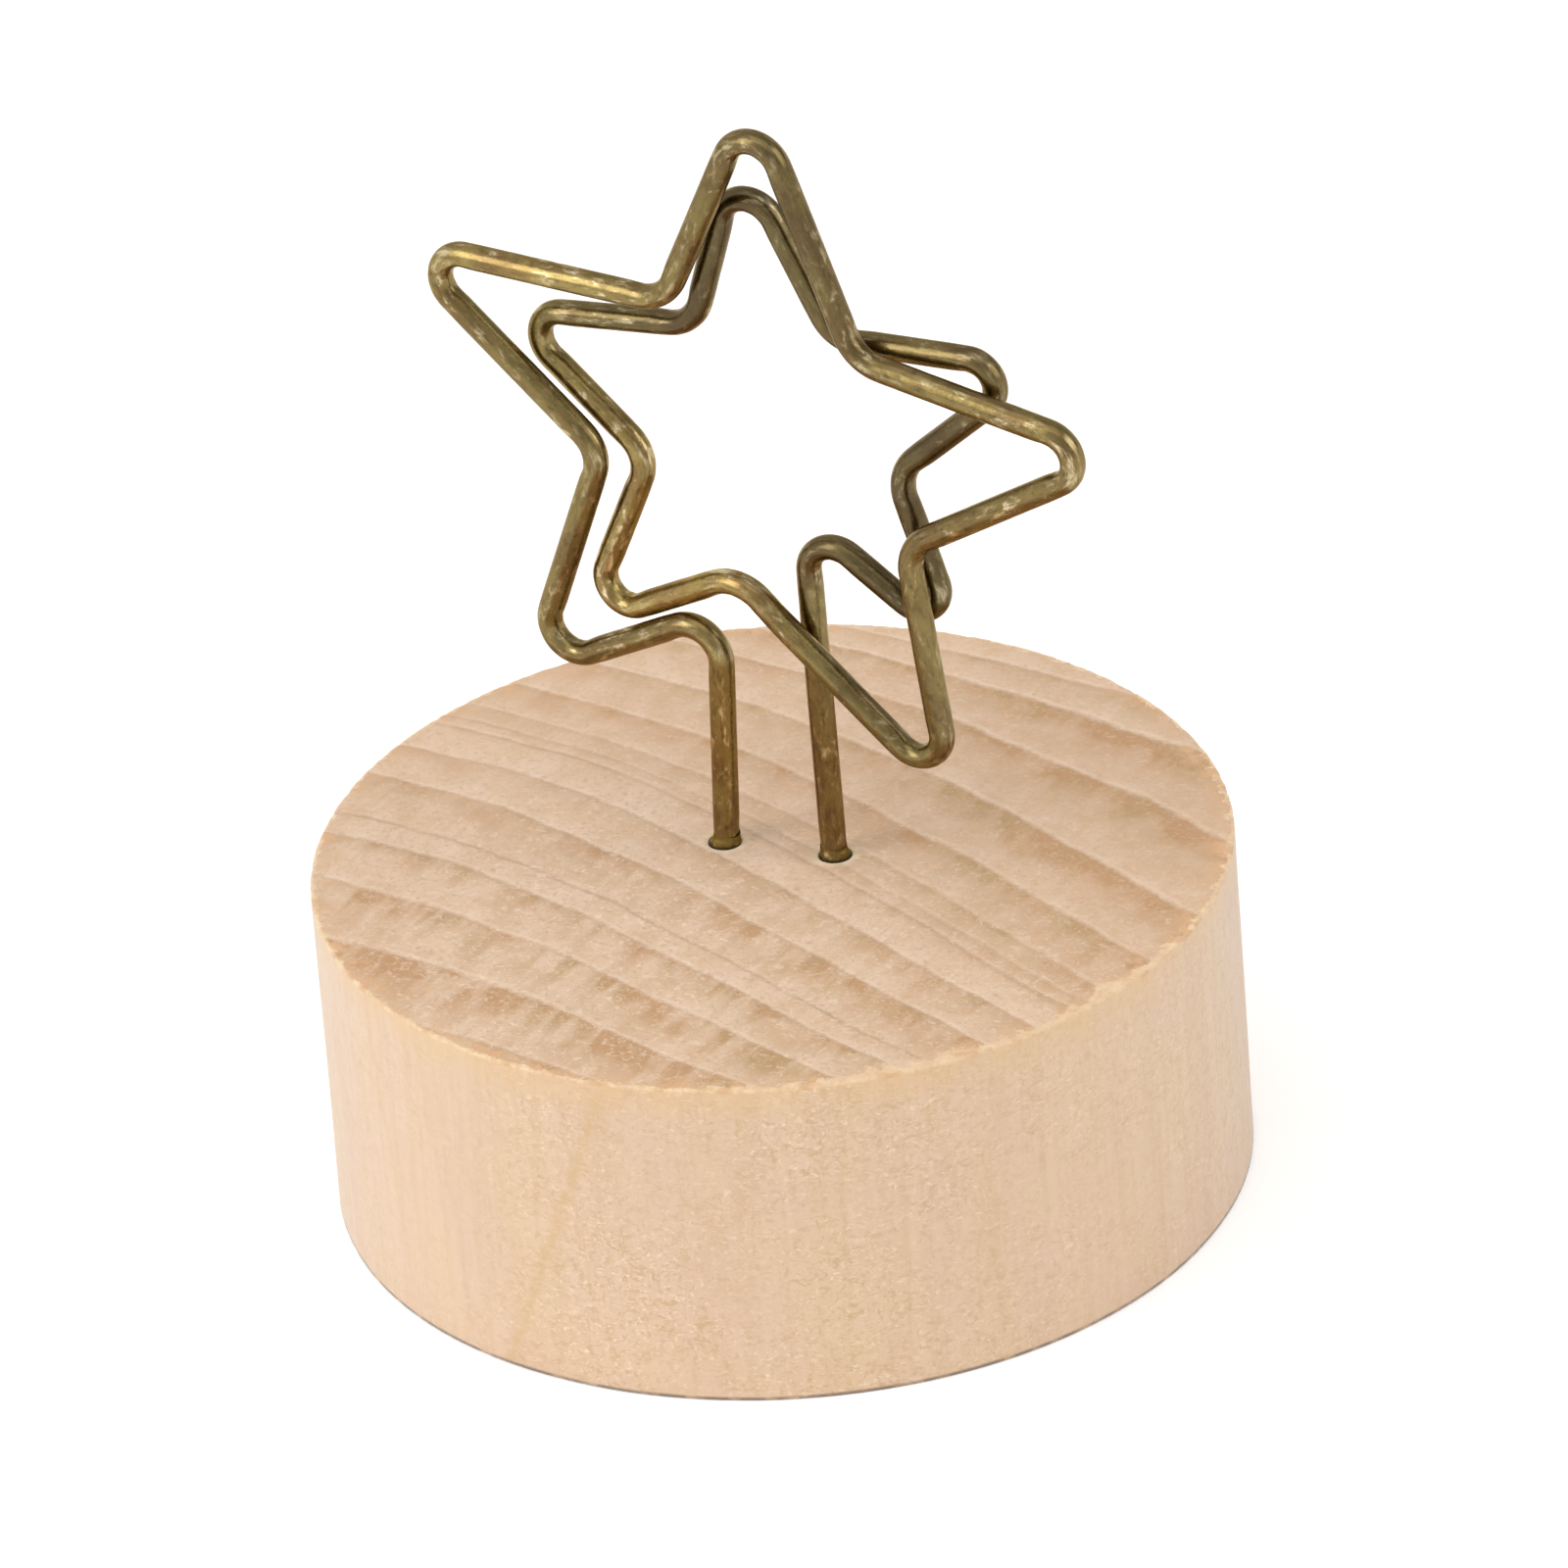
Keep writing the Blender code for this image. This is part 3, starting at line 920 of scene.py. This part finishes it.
woodBlock = makeBlock()
woodBlock.data.materials.append(woodFinish())
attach(woodBlock, "holder")
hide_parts("wooden_base")
print("stage: wooden block,", len(woodBlock.data.polygons), "faces")


# wire: one length, bent by hand into two stars; the route is the same as the solid one's

wire = {
    "thickness": 1.5,
    "frontY": -0.3,
    "backY": 1.5,
    "depthEase": 1.0,               # to each side of where the wire starts to move back or forward
    "footStraight": 0.8,
    "footBend": 4.0,
    "tipBend": 1.66,
    "notchBend": 2.4,
    "legBend": 1.9,
    "crossoverBend": 2.8,
    "runShare": 0.49,               # at most this much of a straight run goes into the bend at its end
    "cornerTurn": 36,               # degrees from one corner of a star to the next
    # middle, rise above the block, reach of the tips and notches, turn in degrees
    "front": (0.7, 25.9, 23.4, 10.0, -5.6),
    "back": (1.2, 27.1, 17.9, 7.4, 3.7),
    # each corner one by one: lean in degrees, stretch, roundness; clockwise from the low notch
    "frontHand": [
        (-8.1, 1.105, 1.00),
        (-0.2, 1.000, 1.06),
        (0.0, 0.991, 0.91),
        (2.4, 1.019, 1.00),
        (-1.5, 0.968, 1.08),
        (0.5, 0.966, 1.07),
        (-3.8, 1.054, 1.10),
        (-0.9, 1.046, 0.98),
        (2.8, 1.062, 1.07),
        (0.9, 0.969, 0.99),
        (-4.1, 0.834, 1.00),
    ],
    "backHand": [
        (-7.6, 1.110, 0.95),
        (4.0, 1.180, 0.88),
        (3.1, 0.986, 1.01),
        (2.0, 0.915, 1.08),
        (-1.1, 0.936, 1.11),
        (-4.8, 1.033, 0.95),
        (0.2, 1.054, 0.91),
        (3.2, 1.097, 1.08),
        (3.8, 0.927, 0.89),
        (13.0, 0.805, 0.95),
    ],
    "cutUnderBend": 0.4,            # below the leg's top bend, where the front star hinges
    "cutPastLeg": 2.2,              # past the right leg, where the front star ends
    "legFlex": 6.0,                 # a length of the left leg, in mm
    "crossoverFlex": 6.0,           # and of the crossing wire, made a piece of its own
    "sides": 28,
    "sharpAngle": 60,               # degrees
    "step": 0.20,                   # between rings
    "look": 0.05,                   # to each side, for the way that the wire runs
    "arcStep": 4.0,                 # degrees
    "bulge": 0.0225,                # of its radius, how much wider a bend makes the wire from front to back
    "squash": 0.0405,               # and how much thinner across the bend
    "bendBefore": 1.0,              # outside a bend, where the squash starts
    "bendInside": 0.3,              # inside it, where it is full
    "nick": 0.016,                  # depth of the nicks all over
    "nickNoise": (0.15, 0.9),       # noise at which the wire is whole, and a nick full
    "nickScale": (0.55, 1.3),       # nicks along the wire, and round it
    "smallNick": 0.5,               # how much the small nicks count beside the large ones
    "smallNickScale": 2.7,          # how much finer they are
    "scratch": 0.0035,
    "scratchScale": 5.0,            # how much finer than the nicks
    "pinch": 0.045,                 # where the bending pin marked the inner side
    "pinchScale": 3.1,
    "outerWear": 0.8,               # how rubbed the outer side of a bend is
    "bendWear": 0.3,                # and a bend all round
    # how tarnished (or, below 0, how bright) the finish is along the wire, from its left end; besides
    # tarnish, the darker stretches hold painted shade and the brighter ones painted glints
    "tarnishAndShade": [
        (0, 0), (10, -0.1), (14, -0.4), (18, -0.8), (24, -0.4), (31, -0.1), (45, 0), (60, 0), (70, -1.2),
        (80, 0), (98, 0.8), (110, -0.2), (130, -0.2), (153, 0.4), (164, -1.8), (176, -1.1), (186, -0.8),
        (196, 0.7), (205, 1.1), (216, 0.9), (226, 0.2), (236, 1.1), (244, 1.0), (252, 1.2), (262, 0),
        (269, 0), (274, -0.3), (290, -0.3),
    ],
}


def starCorner(star, step, hand):
    middle, rise, tipReach, notchReach, turn = wire[star]
    lean, stretch, _ = hand
    reach = stretch * (tipReach if step % 2 else notchReach)
    lowNotch = 270
    angle = math.radians(lowNotch - wire["cornerTurn"] * step + turn + lean)
    return middle + reach * math.cos(angle), blockTop / mm + rise + reach * math.sin(angle)


def wireCorners():
    left, right = holePlace("left_glue") / mm, holePlace("right_glue") / mm
    foot = blockTop / mm + wire["footStraight"]
    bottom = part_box("left_leg")[0].z / mm
    corners = {"left end": (left.x, bottom, 0), "left foot": (left.x, foot, wire["footBend"])}
    special = {"front 0": wire["legBend"], "front 10": wire["crossoverBend"], "back 10": wire["legBend"]}
    for star, hands, first in (("front", wire["frontHand"], 0), ("back", wire["backHand"], 1)):
        for step, hand in enumerate(hands, start=first):
            name = f"{star} {step}"
            usual = wire["tipBend"] if step % 2 else wire["notchBend"]
            corners[name] = (*starCorner(star, step, hand), special.get(name, usual) * hand[2])
    corners["right foot"] = (right.x, foot, wire["footBend"])
    corners["right end"] = (right.x, bottom, 0)
    return corners


def bendArc(before, corner, after):
    here = Vector(corner[:2])
    came = here - Vector(before[:2])
    goes = Vector(after[:2]) - here
    turn = came.angle(goes)
    tangent = min(corner[2] * math.tan(turn / 2), wire["runShare"] * min(came.length, goes.length))
    start = here - came.normalized() * tangent
    side = 1 if came.cross(goes) > 0 else -1
    centre = start + Vector((-came.y, came.x)).normalized() * side * tangent / math.tan(turn / 2)
    steps = max(2, math.ceil(math.degrees(turn) / wire["arcStep"]))
    spokes = [Matrix.Rotation(side * turn * n / steps, 2) @ (start - centre) for n in range(steps + 1)]
    return [centre + spoke for spoke in spokes], side


def alongTable(value, table):
    for (placeA, a), (placeB, b) in zip(table, table[1:]):
        if value <= placeB:
            return mix(a, b, max(0, (value - placeA) / (placeB - placeA)))
    return table[-1][1]


def wireRoute():
    # the middle line as (place, x, z, bend), with each bend's start and end places
    corners = wireCorners()
    names = list(corners)
    spots = [(0.0, Vector(corners["left end"][:2]), 0.0)]
    starts, ends = {}, {}

    def runTo(point, bend):
        place, last, lastBend = spots[-1]
        length = (point - last).length
        pieces = 1 if bend and lastBend else max(1, round(length / (wire["step"] * 2)))
        for n in range(1, pieces + 1):
            reached = place + length * n / pieces
            spots.append((reached, last.lerp(point, n / pieces), bend if n == pieces else 0.0))

    for before, name, after in zip(names, names[1:], names[2:]):
        arc, side = bendArc(corners[before], corners[name], corners[after])
        runTo(arc[0], side)
        starts[name] = spots[-1][0]
        for point in arc[1:]:
            runTo(point, side)
        ends[name] = spots[-1][0]
    runTo(Vector(corners["right end"][:2]), 0.0)
    return spots, starts, ends, corners


def lineCrossing(a, b, c, d):
    along, other = b - a, d - c
    return a + along * ((c - a).cross(other) / along.cross(other))


class WireLine:
    def __init__(self):
        spots, starts, ends, corners = wireRoute()
        self.places = [place for place, _, _ in spots]
        self.flat = [point for _, point, _ in spots]
        self.end = self.places[-1]
        runEnds = [Vector(corners[name][:2]) for name in ("front 9", "front 10", "back 10", "right foot")]
        crossing = lineCrossing(*runEnds)
        self.crossing = ends["front 9"] + (crossing - self.at(ends["front 9"])).length
        self.legCut = starts["front 0"] - wire["cutUnderBend"]
        self.starCut = self.crossing + wire["cutPastLeg"]
        self.bends = [(starts[name], ends[name], side) for name, side in self.bendSides(spots, starts, ends)]
        leftY, rightY = holePlace("left_glue").y / mm, holePlace("right_glue").y / mm
        self.depths = [
            (0, leftY),
            (ends["left foot"], leftY),
            (starts["front 0"], wire["frontY"]),
            (self.crossing + wire["thickness"], wire["frontY"]),
            (starts["back 3"], wire["backY"]),
            (ends["back 10"], wire["backY"]),
            (starts["right foot"], rightY),
            (self.end, rightY),
        ]

    def bendSides(self, spots, starts, ends):
        for name in starts:
            middle = (starts[name] + ends[name]) / 2
            side = next(bend for place, _, bend in spots if place >= middle)
            yield name, side

    def at(self, place):
        low, high = 0, len(self.places) - 1
        while high - low > 1:
            half = (low + high) // 2
            if self.places[half] <= place:
                low = half
            else:
                high = half
        length = self.places[high] - self.places[low]
        share = (place - self.places[low]) / length if length else 0
        return self.flat[low].lerp(self.flat[high], max(0, min(1, share)))

    def depth(self, place):
        # eased, so that the wire has no kink where its depth starts to change
        steps = (-1, -0.5, 0, 0.5, 1)
        return sum(alongTable(place + wire["depthEase"] * n, self.depths) for n in steps) / len(steps)

    def point(self, place):
        flat = self.at(place)
        return Vector((flat.x, self.depth(place), flat.y))

    def bend(self, place):
        # 1 in the middle of a bend, 0 on a straight run, with the side that it turns to
        before, inside = wire["bendBefore"], wire["bendInside"]
        best, bestSide = 0.0, 0
        for start, end, side in self.bends:
            share = smooth(place, start - before, start + inside) * smooth(place, end + before, end - inside)
            if share > best:
                best, bestSide = share, side
        return best, bestSide


def skinReach(place, c, s, bent, side):
    # from the middle line to the skin: squashed in a bend, nicked all over, pinched on a bend's inner side
    reach = wire["thickness"] / 2 * (1 + bent * (wire["bulge"] * abs(c) - wire["squash"] * abs(s)))
    along, around = wire["nickScale"]
    spot = Vector((place * along, c * around, s * around))
    small = noise.noise(spot * wire["smallNickScale"] + Vector((9, 4, 1)))
    nicks = noise.noise(spot) + wire["smallNick"] * small
    reach -= wire["nick"] * smooth(nicks, *wire["nickNoise"])
    reach -= wire["scratch"] * noise.noise(spot * wire["scratchScale"])
    uneven = noise.noise(spot * wire["pinchScale"] + Vector((2, 7, 3)))
    pinched = max(0.0, s * side) ** 3 * bent
    return reach - wire["pinch"] * pinched * (1 + uneven)


def wirePiece(name, line, start, end):
    # rings of points round the middle line; each also keeps its place on the straightened wire
    radius = wire["thickness"] / 2
    sides = wire["sides"]
    ringCount = max(2, round((end - start) / wire["step"]))
    points, straight, wear, tarnishAndShade, faces = [], [], [], [], []
    for n in range(ringCount + 1):
        place = mix(start, end, n / ringCount)
        middle = line.point(place)
        ahead = line.point(min(place + wire["look"], line.end)) - line.point(max(place - wire["look"], 0))
        ahead.normalize()
        out = Vector((0, 1, 0))
        out = (out - ahead * out.dot(ahead)).normalized()
        across = ahead.cross(out)
        bent, side = line.bend(place)
        for k in range(sides):
            angle = 2 * math.pi * k / sides
            c, s = math.cos(angle), math.sin(angle)
            points.append((middle + (out * c + across * s) * skinReach(place, c, s, bent, side)) * mm)
            straight.append((place, c * radius, s * radius))
            outer = -s * side * bent
            wear.append(max(0.0, outer) * wire["outerWear"] + wire["bendWear"] * bent)
            tarnishAndShade.append(alongTable(place, wire["tarnishAndShade"]))
    for n in range(ringCount):
        low, high = n * sides, (n + 1) * sides
        stitch(faces, range(low, low + sides), range(high, high + sides))
    faces.append(tuple(reversed(range(sides))))
    faces.append(tuple(range(ringCount * sides, (ringCount + 1) * sides)))
    piece = addPiece(name, points, faces, wire["sharpAngle"])
    storeVectors(piece, "onWire", straight)
    storeNumbers(piece, "wear", wear)
    storeNumbers(piece, "tarnishAndShade", tarnishAndShade)
    return piece


bronze = {
    "olive": (0.222, 0.160, 0.047),
    "brown": (0.165, 0.103, 0.029),
    "dark": (0.050, 0.030, 0.009),
    "worn": (0.790, 0.650, 0.400),
    "edge": (0.62, 0.48, 0.22),         # how dark the metal goes at a glancing angle
    "metallic": 0.94,
    "shine": 0.3,
    "roughness": 0.26,
    "pitRoughness": 0.20,
    "wornRoughness": 0.15,
    "lacquer": 0.50,
    "lacquerRoughness": 0.22,
    "tarnishAndShadeDepth": 0.45,
    "wearShare": 0.06,                  # how much more the outer side of a bend is rubbed
    "wornShare": 0.78,
    "relief": 0.00004,                  # m
    "reliefStrength": 0.45,
    "drawnRelief": 0.4,                 # of the pits' own
    # marks: stretch along the wire and to its two sides, then scale, detail, roughness, distortion
    "cloudMark": ((0.35, 0.9, 0.9), 0.8, 4.0, 0.60),
    "drawnMark": ((0.28, 1.0, 1.0), 3.2, 3.0, 0.60),
    "pitMark": ((0.75, 1.0, 1.0), 2.4, 4.0, 0.62),
    "rubbedMark": ((0.46, 1.0, 1.0), 2.0, 4.0, 0.60, 0.5),
    "patchMark": ((0.22, 0.5, 0.5), 0.8, 2.0),
    # how a mark gives a share: from here to there, and from which share to which (or 0 to 1)
    "oliveClouds": (0.36, 0.62),
    "darkPits": (0.46, 0.29, 0.00, 0.46),
    "darkLines": (0.50, 0.32, 0.00, 0.35),
    "rubbed": (0.50, 0.71),
    "rubbedLines": (0.38, 0.60),
    "rubbedPatches": (0.38, 0.60, 0.20, 1.00),
}


def bronzeFinish(name, rim=None):
    # rim is for the glue: it gives the shares of its dark, dull edge and of the seam beside the wood
    finish = Finish(name)
    times, plus, ease, shader = finish.times, finish.plus, finish.ease, finish.shader.inputs
    onWire = finish.stored("onWire", "Vector")
    drawn = finish.mark(onWire, *bronze["drawnMark"])
    pits = finish.mark(onWire, *bronze["pitMark"])
    clouds = ease(finish.mark(onWire, *bronze["cloudMark"]), *bronze["oliveClouds"])
    colour = finish.blend(clouds, bronze["brown"], bronze["olive"])
    # painted light as well as tarnish: the table darkens and brightens stretches of the wire
    cleanAndLit = plus(times(finish.stored("tarnishAndShade"), -bronze["tarnishAndShadeDepth"]), 1.0)
    colour = finish.blend(1.0, colour, cleanAndLit, way="MULTIPLY")
    colour = finish.blend(ease(pits, *bronze["darkPits"]), colour, bronze["dark"])
    colour = finish.blend(ease(drawn, *bronze["darkLines"]), colour, bronze["dark"])
    wear = times(finish.stored("wear"), bronze["wearShare"])
    rubbed = ease(plus(finish.mark(onWire, *bronze["rubbedMark"]), wear), *bronze["rubbed"])
    patches = ease(finish.mark(onWire, *bronze["patchMark"]), *bronze["rubbedPatches"])
    worn = times(rubbed, ease(drawn, *bronze["rubbedLines"]), patches, cleanAndLit)
    colour = finish.blend(finish.capped(worn, bronze["wornShare"]), colour, bronze["worn"])
    rough = plus(times(pits, bronze["pitRoughness"]), bronze["roughness"] - bronze["pitRoughness"] / 2)
    rough = plus(rough, times(worn, bronze["wornRoughness"] - bronze["roughness"]))
    shader["Metallic"].default_value = bronze["metallic"]
    shader["Specular IOR Level"].default_value = bronze["shine"]
    shader["Specular Tint"].default_value = (*bronze["edge"], 1)
    shader["Coat Weight"].default_value = 0.0 if rim else bronze["lacquer"]
    shader["Coat Roughness"].default_value = bronze["lacquerRoughness"]
    if rim:
        share, seam = rim(finish)
        colour = finish.blend(share, colour, glue["rimColour"])
        colour = finish.blend(seam, colour, glue["seamColour"])
        rough = plus(rough, times(share, glue["rimRoughness"]), glue["roughness"])
        finish.join(finish.between(share, bronze["metallic"], glue["rimMetallic"]), shader["Metallic"])
    finish.join(colour, shader["Base Color"])
    finish.join(rough, shader["Roughness"])
    finish.bump(plus(pits, times(drawn, bronze["drawnRelief"])), bronze["relief"], bronze["reliefStrength"])
    return finish.material


line = WireLine()
bronzeMaterial = bronzeFinish("antiqueBronze")
leftLeg = wirePiece("leftLegWire", line, 0.0, line.legCut)
frontStar = wirePiece("frontStarWire", line, line.legCut, line.starCut)
flexEnd = line.starCut + wire["crossoverFlex"]
crossover = wirePiece("crossoverWire", line, line.starCut, flexEnd)
backStar = wirePiece("backStarWire", line, flexEnd, line.end)
hinge = line.point(line.legCut) * mm
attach(frontStar, "front_jaw")
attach(backStar, "holder")
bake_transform(leftLeg)
line.point(line.starCut) * mm
line.point(flexEnd) * mm
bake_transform(crossover)
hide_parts("left_leg")
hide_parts("front_star")
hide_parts("back_star")
for piece in (leftLeg, frontStar, crossover, backStar):
    piece.data.materials.append(bronzeMaterial)
print("stage: wire,", round(line.end), "mm long, hinge at", [round(part / mm, 2) for part in hinge])


# glue: a small collar climbs each leg out of its hole, under the same bronze finish

glue = {
    "sides": 64,
    "rows": 12,
    "sharpAngle": 50,               # degrees
    "depth": 2.4,
    "rimRadius": 0.94,              # in the hole
    "lipRadius": 0.935,             # where it fills the hole's eased edge
    "lipRise": 0.02,                # how far it stands over that edge
    "climb": 0.60,                  # up the wire
    "climbCurve": 1.25,             # the higher, the closer its rows start above the lip
    "flare": 2.1,                   # the higher, the sooner it narrows to the wire
    "film": 0.006,                  # thick where it runs out on the wire
    "wobble": 0.18,                 # how uneven its top edge is
    "wobbleScale": 1.2,
    "ripple": 0.03,                 # how uneven its flare is
    "rippleScale": 4.5,
    "rippleStart": 3,               # rings above the lip over which the ripple grows
    "rippleEnd": 4,                 # rings over which it ends, towards the top
    "ringShift": 0.1,               # how much the ripple changes from one ring to the next
    "rimColour": (0.112, 0.060, 0.010),
    "rimRoughness": 0.3,            # on top of the rest's
    "rimMetallic": 0.04,
    "roughness": 0.1,               # on top of the wire's
    "seamColour": (0.040, 0.022, 0.006),    # the shadowed line where it meets the wood
    # which way the dark rim looks, and how far round it goes
    "rimFacing": {"left_glue": (-0.15, -0.99), "right_glue": (0.54, -0.84)},
    "rimRound": (-0.6, 0.4),
    # up the wire from the block, where the rim and the seam end, and how ragged they are
    "rimTop": (0.42, 0.14),
    "seamTop": (0.13, 0.05),
    "ragged": 0.2,
    "raggedNoise": (2.2, 3.0),
    "patchNoise": (1.9, 3.0, 0.6),
    "patches": (0.38, 0.58, 0.35, 1.0),
}


def glueProfile():
    # radius and height of each ring: from deep in the hole up to the lip, and then up the wire
    top = blockTop / mm
    bottom = top - glue["depth"]
    thin = wire["thickness"] / 2 + glue["film"]
    rim, lip = glue["rimRadius"], glue["lipRadius"]
    inHole = [(thin, bottom), (rim, bottom), (rim, top - block["holeEase"])]
    collar = [(lip, top + glue["lipRise"])]
    for n in range(1, glue["rows"] + 1):
        share = n / glue["rows"]
        reach = mix(lip, thin, 1 - (1 - share) ** glue["flare"])
        collar.append((reach, top + mix(glue["lipRise"], glue["climb"], share ** glue["climbCurve"])))
    return inHole + collar, len(inHole)


def makeGlue(name, node):
    place, mouth = holePlace(node) / mm, mouthPlace(node)
    radius = wire["thickness"] / 2
    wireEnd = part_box("left_leg")[0].z / mm
    turn = -1 if node == "left_glue" else 1     # the wire runs up out of the left hole, down into the right
    rows, lipRow = glueProfile()
    count, sides = len(rows), glue["sides"]
    points, faces, straight, rims = [], [], [], []
    for row, (reach, z) in enumerate(rows):
        # the lowest ring and the two highest are round the wire, the others move to the hole's mouth
        middle = place.lerp(mouth, smooth(row, 0, 1) * smooth(row, count - 2, lipRow))
        lifted = smooth(row, lipRow + 1, count)
        rippled = smooth(row, lipRow, lipRow + glue["rippleStart"])
        rippled *= smooth(row, count, count - glue["rippleEnd"])
        for k in range(sides):
            angle = 2 * math.pi * k / sides
            c, s = math.cos(angle), math.sin(angle)
            wobble = noise.noise(Vector((c * glue["wobbleScale"], s * glue["wobbleScale"], place.x)))
            shifted = place.x + row * glue["ringShift"]
            ripple = noise.noise(Vector((c * glue["rippleScale"], s * glue["rippleScale"], shifted)))
            spread = reach + glue["ripple"] * ripple * rippled
            height = z + glue["wobble"] * wobble * lifted
            points.append(Vector((middle.x + spread * c, middle.y + spread * s, height)) * mm)
            facing = Vector(glue["rimFacing"][node]).dot((c, s))
            rims.append(smooth(facing, *glue["rimRound"]))
            along = z - wireEnd
            straight.append((along if turn < 0 else line.end - along, s * radius, c * turn * radius))
    for row in range(count):
        above = (row + 1) % count
        stitch(faces, range(row * sides, (row + 1) * sides), range(above * sides, (above + 1) * sides))
    piece = addPiece(name, points, faces, glue["sharpAngle"])
    storeVectors(piece, "onWire", straight)
    storeNumbers(piece, "tarnishAndShade", [alongTable(spot[0], wire["tarnishAndShade"]) for spot in straight])
    storeNumbers(piece, "rim", rims)
    return piece


def glueRim(finish):
    # the rim is darker and duller low on the collar, mostly along the front; the seam is darker still, a
    # painted shadow where it meets the wood
    times, ease = finish.times, finish.ease
    where = finish.place()
    ragged = times(finish.speckle(where, *glue["raggedNoise"]), glue["ragged"])
    height = finish.plus(finish.parts(where)["Z"], ragged, -glue["ragged"] / 2 - blockTop / mm)
    patches = ease(finish.speckle(where, *glue["patchNoise"]), *glue["patches"])
    facing = finish.stored("rim")
    share = times(ease(height, *glue["rimTop"]), facing, patches)
    return share, times(ease(height, *glue["seamTop"]), facing)


# painted reflection: the clear glue takes the wire's bronze finish, standing for the wire seen through it
glueMaterial = bronzeFinish("setGlue", glueRim)
for name, node in (("leftMeniscus", "left_glue"), ("rightMeniscus", "right_glue")):
    piece = makeGlue(name, node)
    piece.data.materials.append(glueMaterial)
    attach(piece, "holder")
    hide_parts(node)
print("stage: glue")
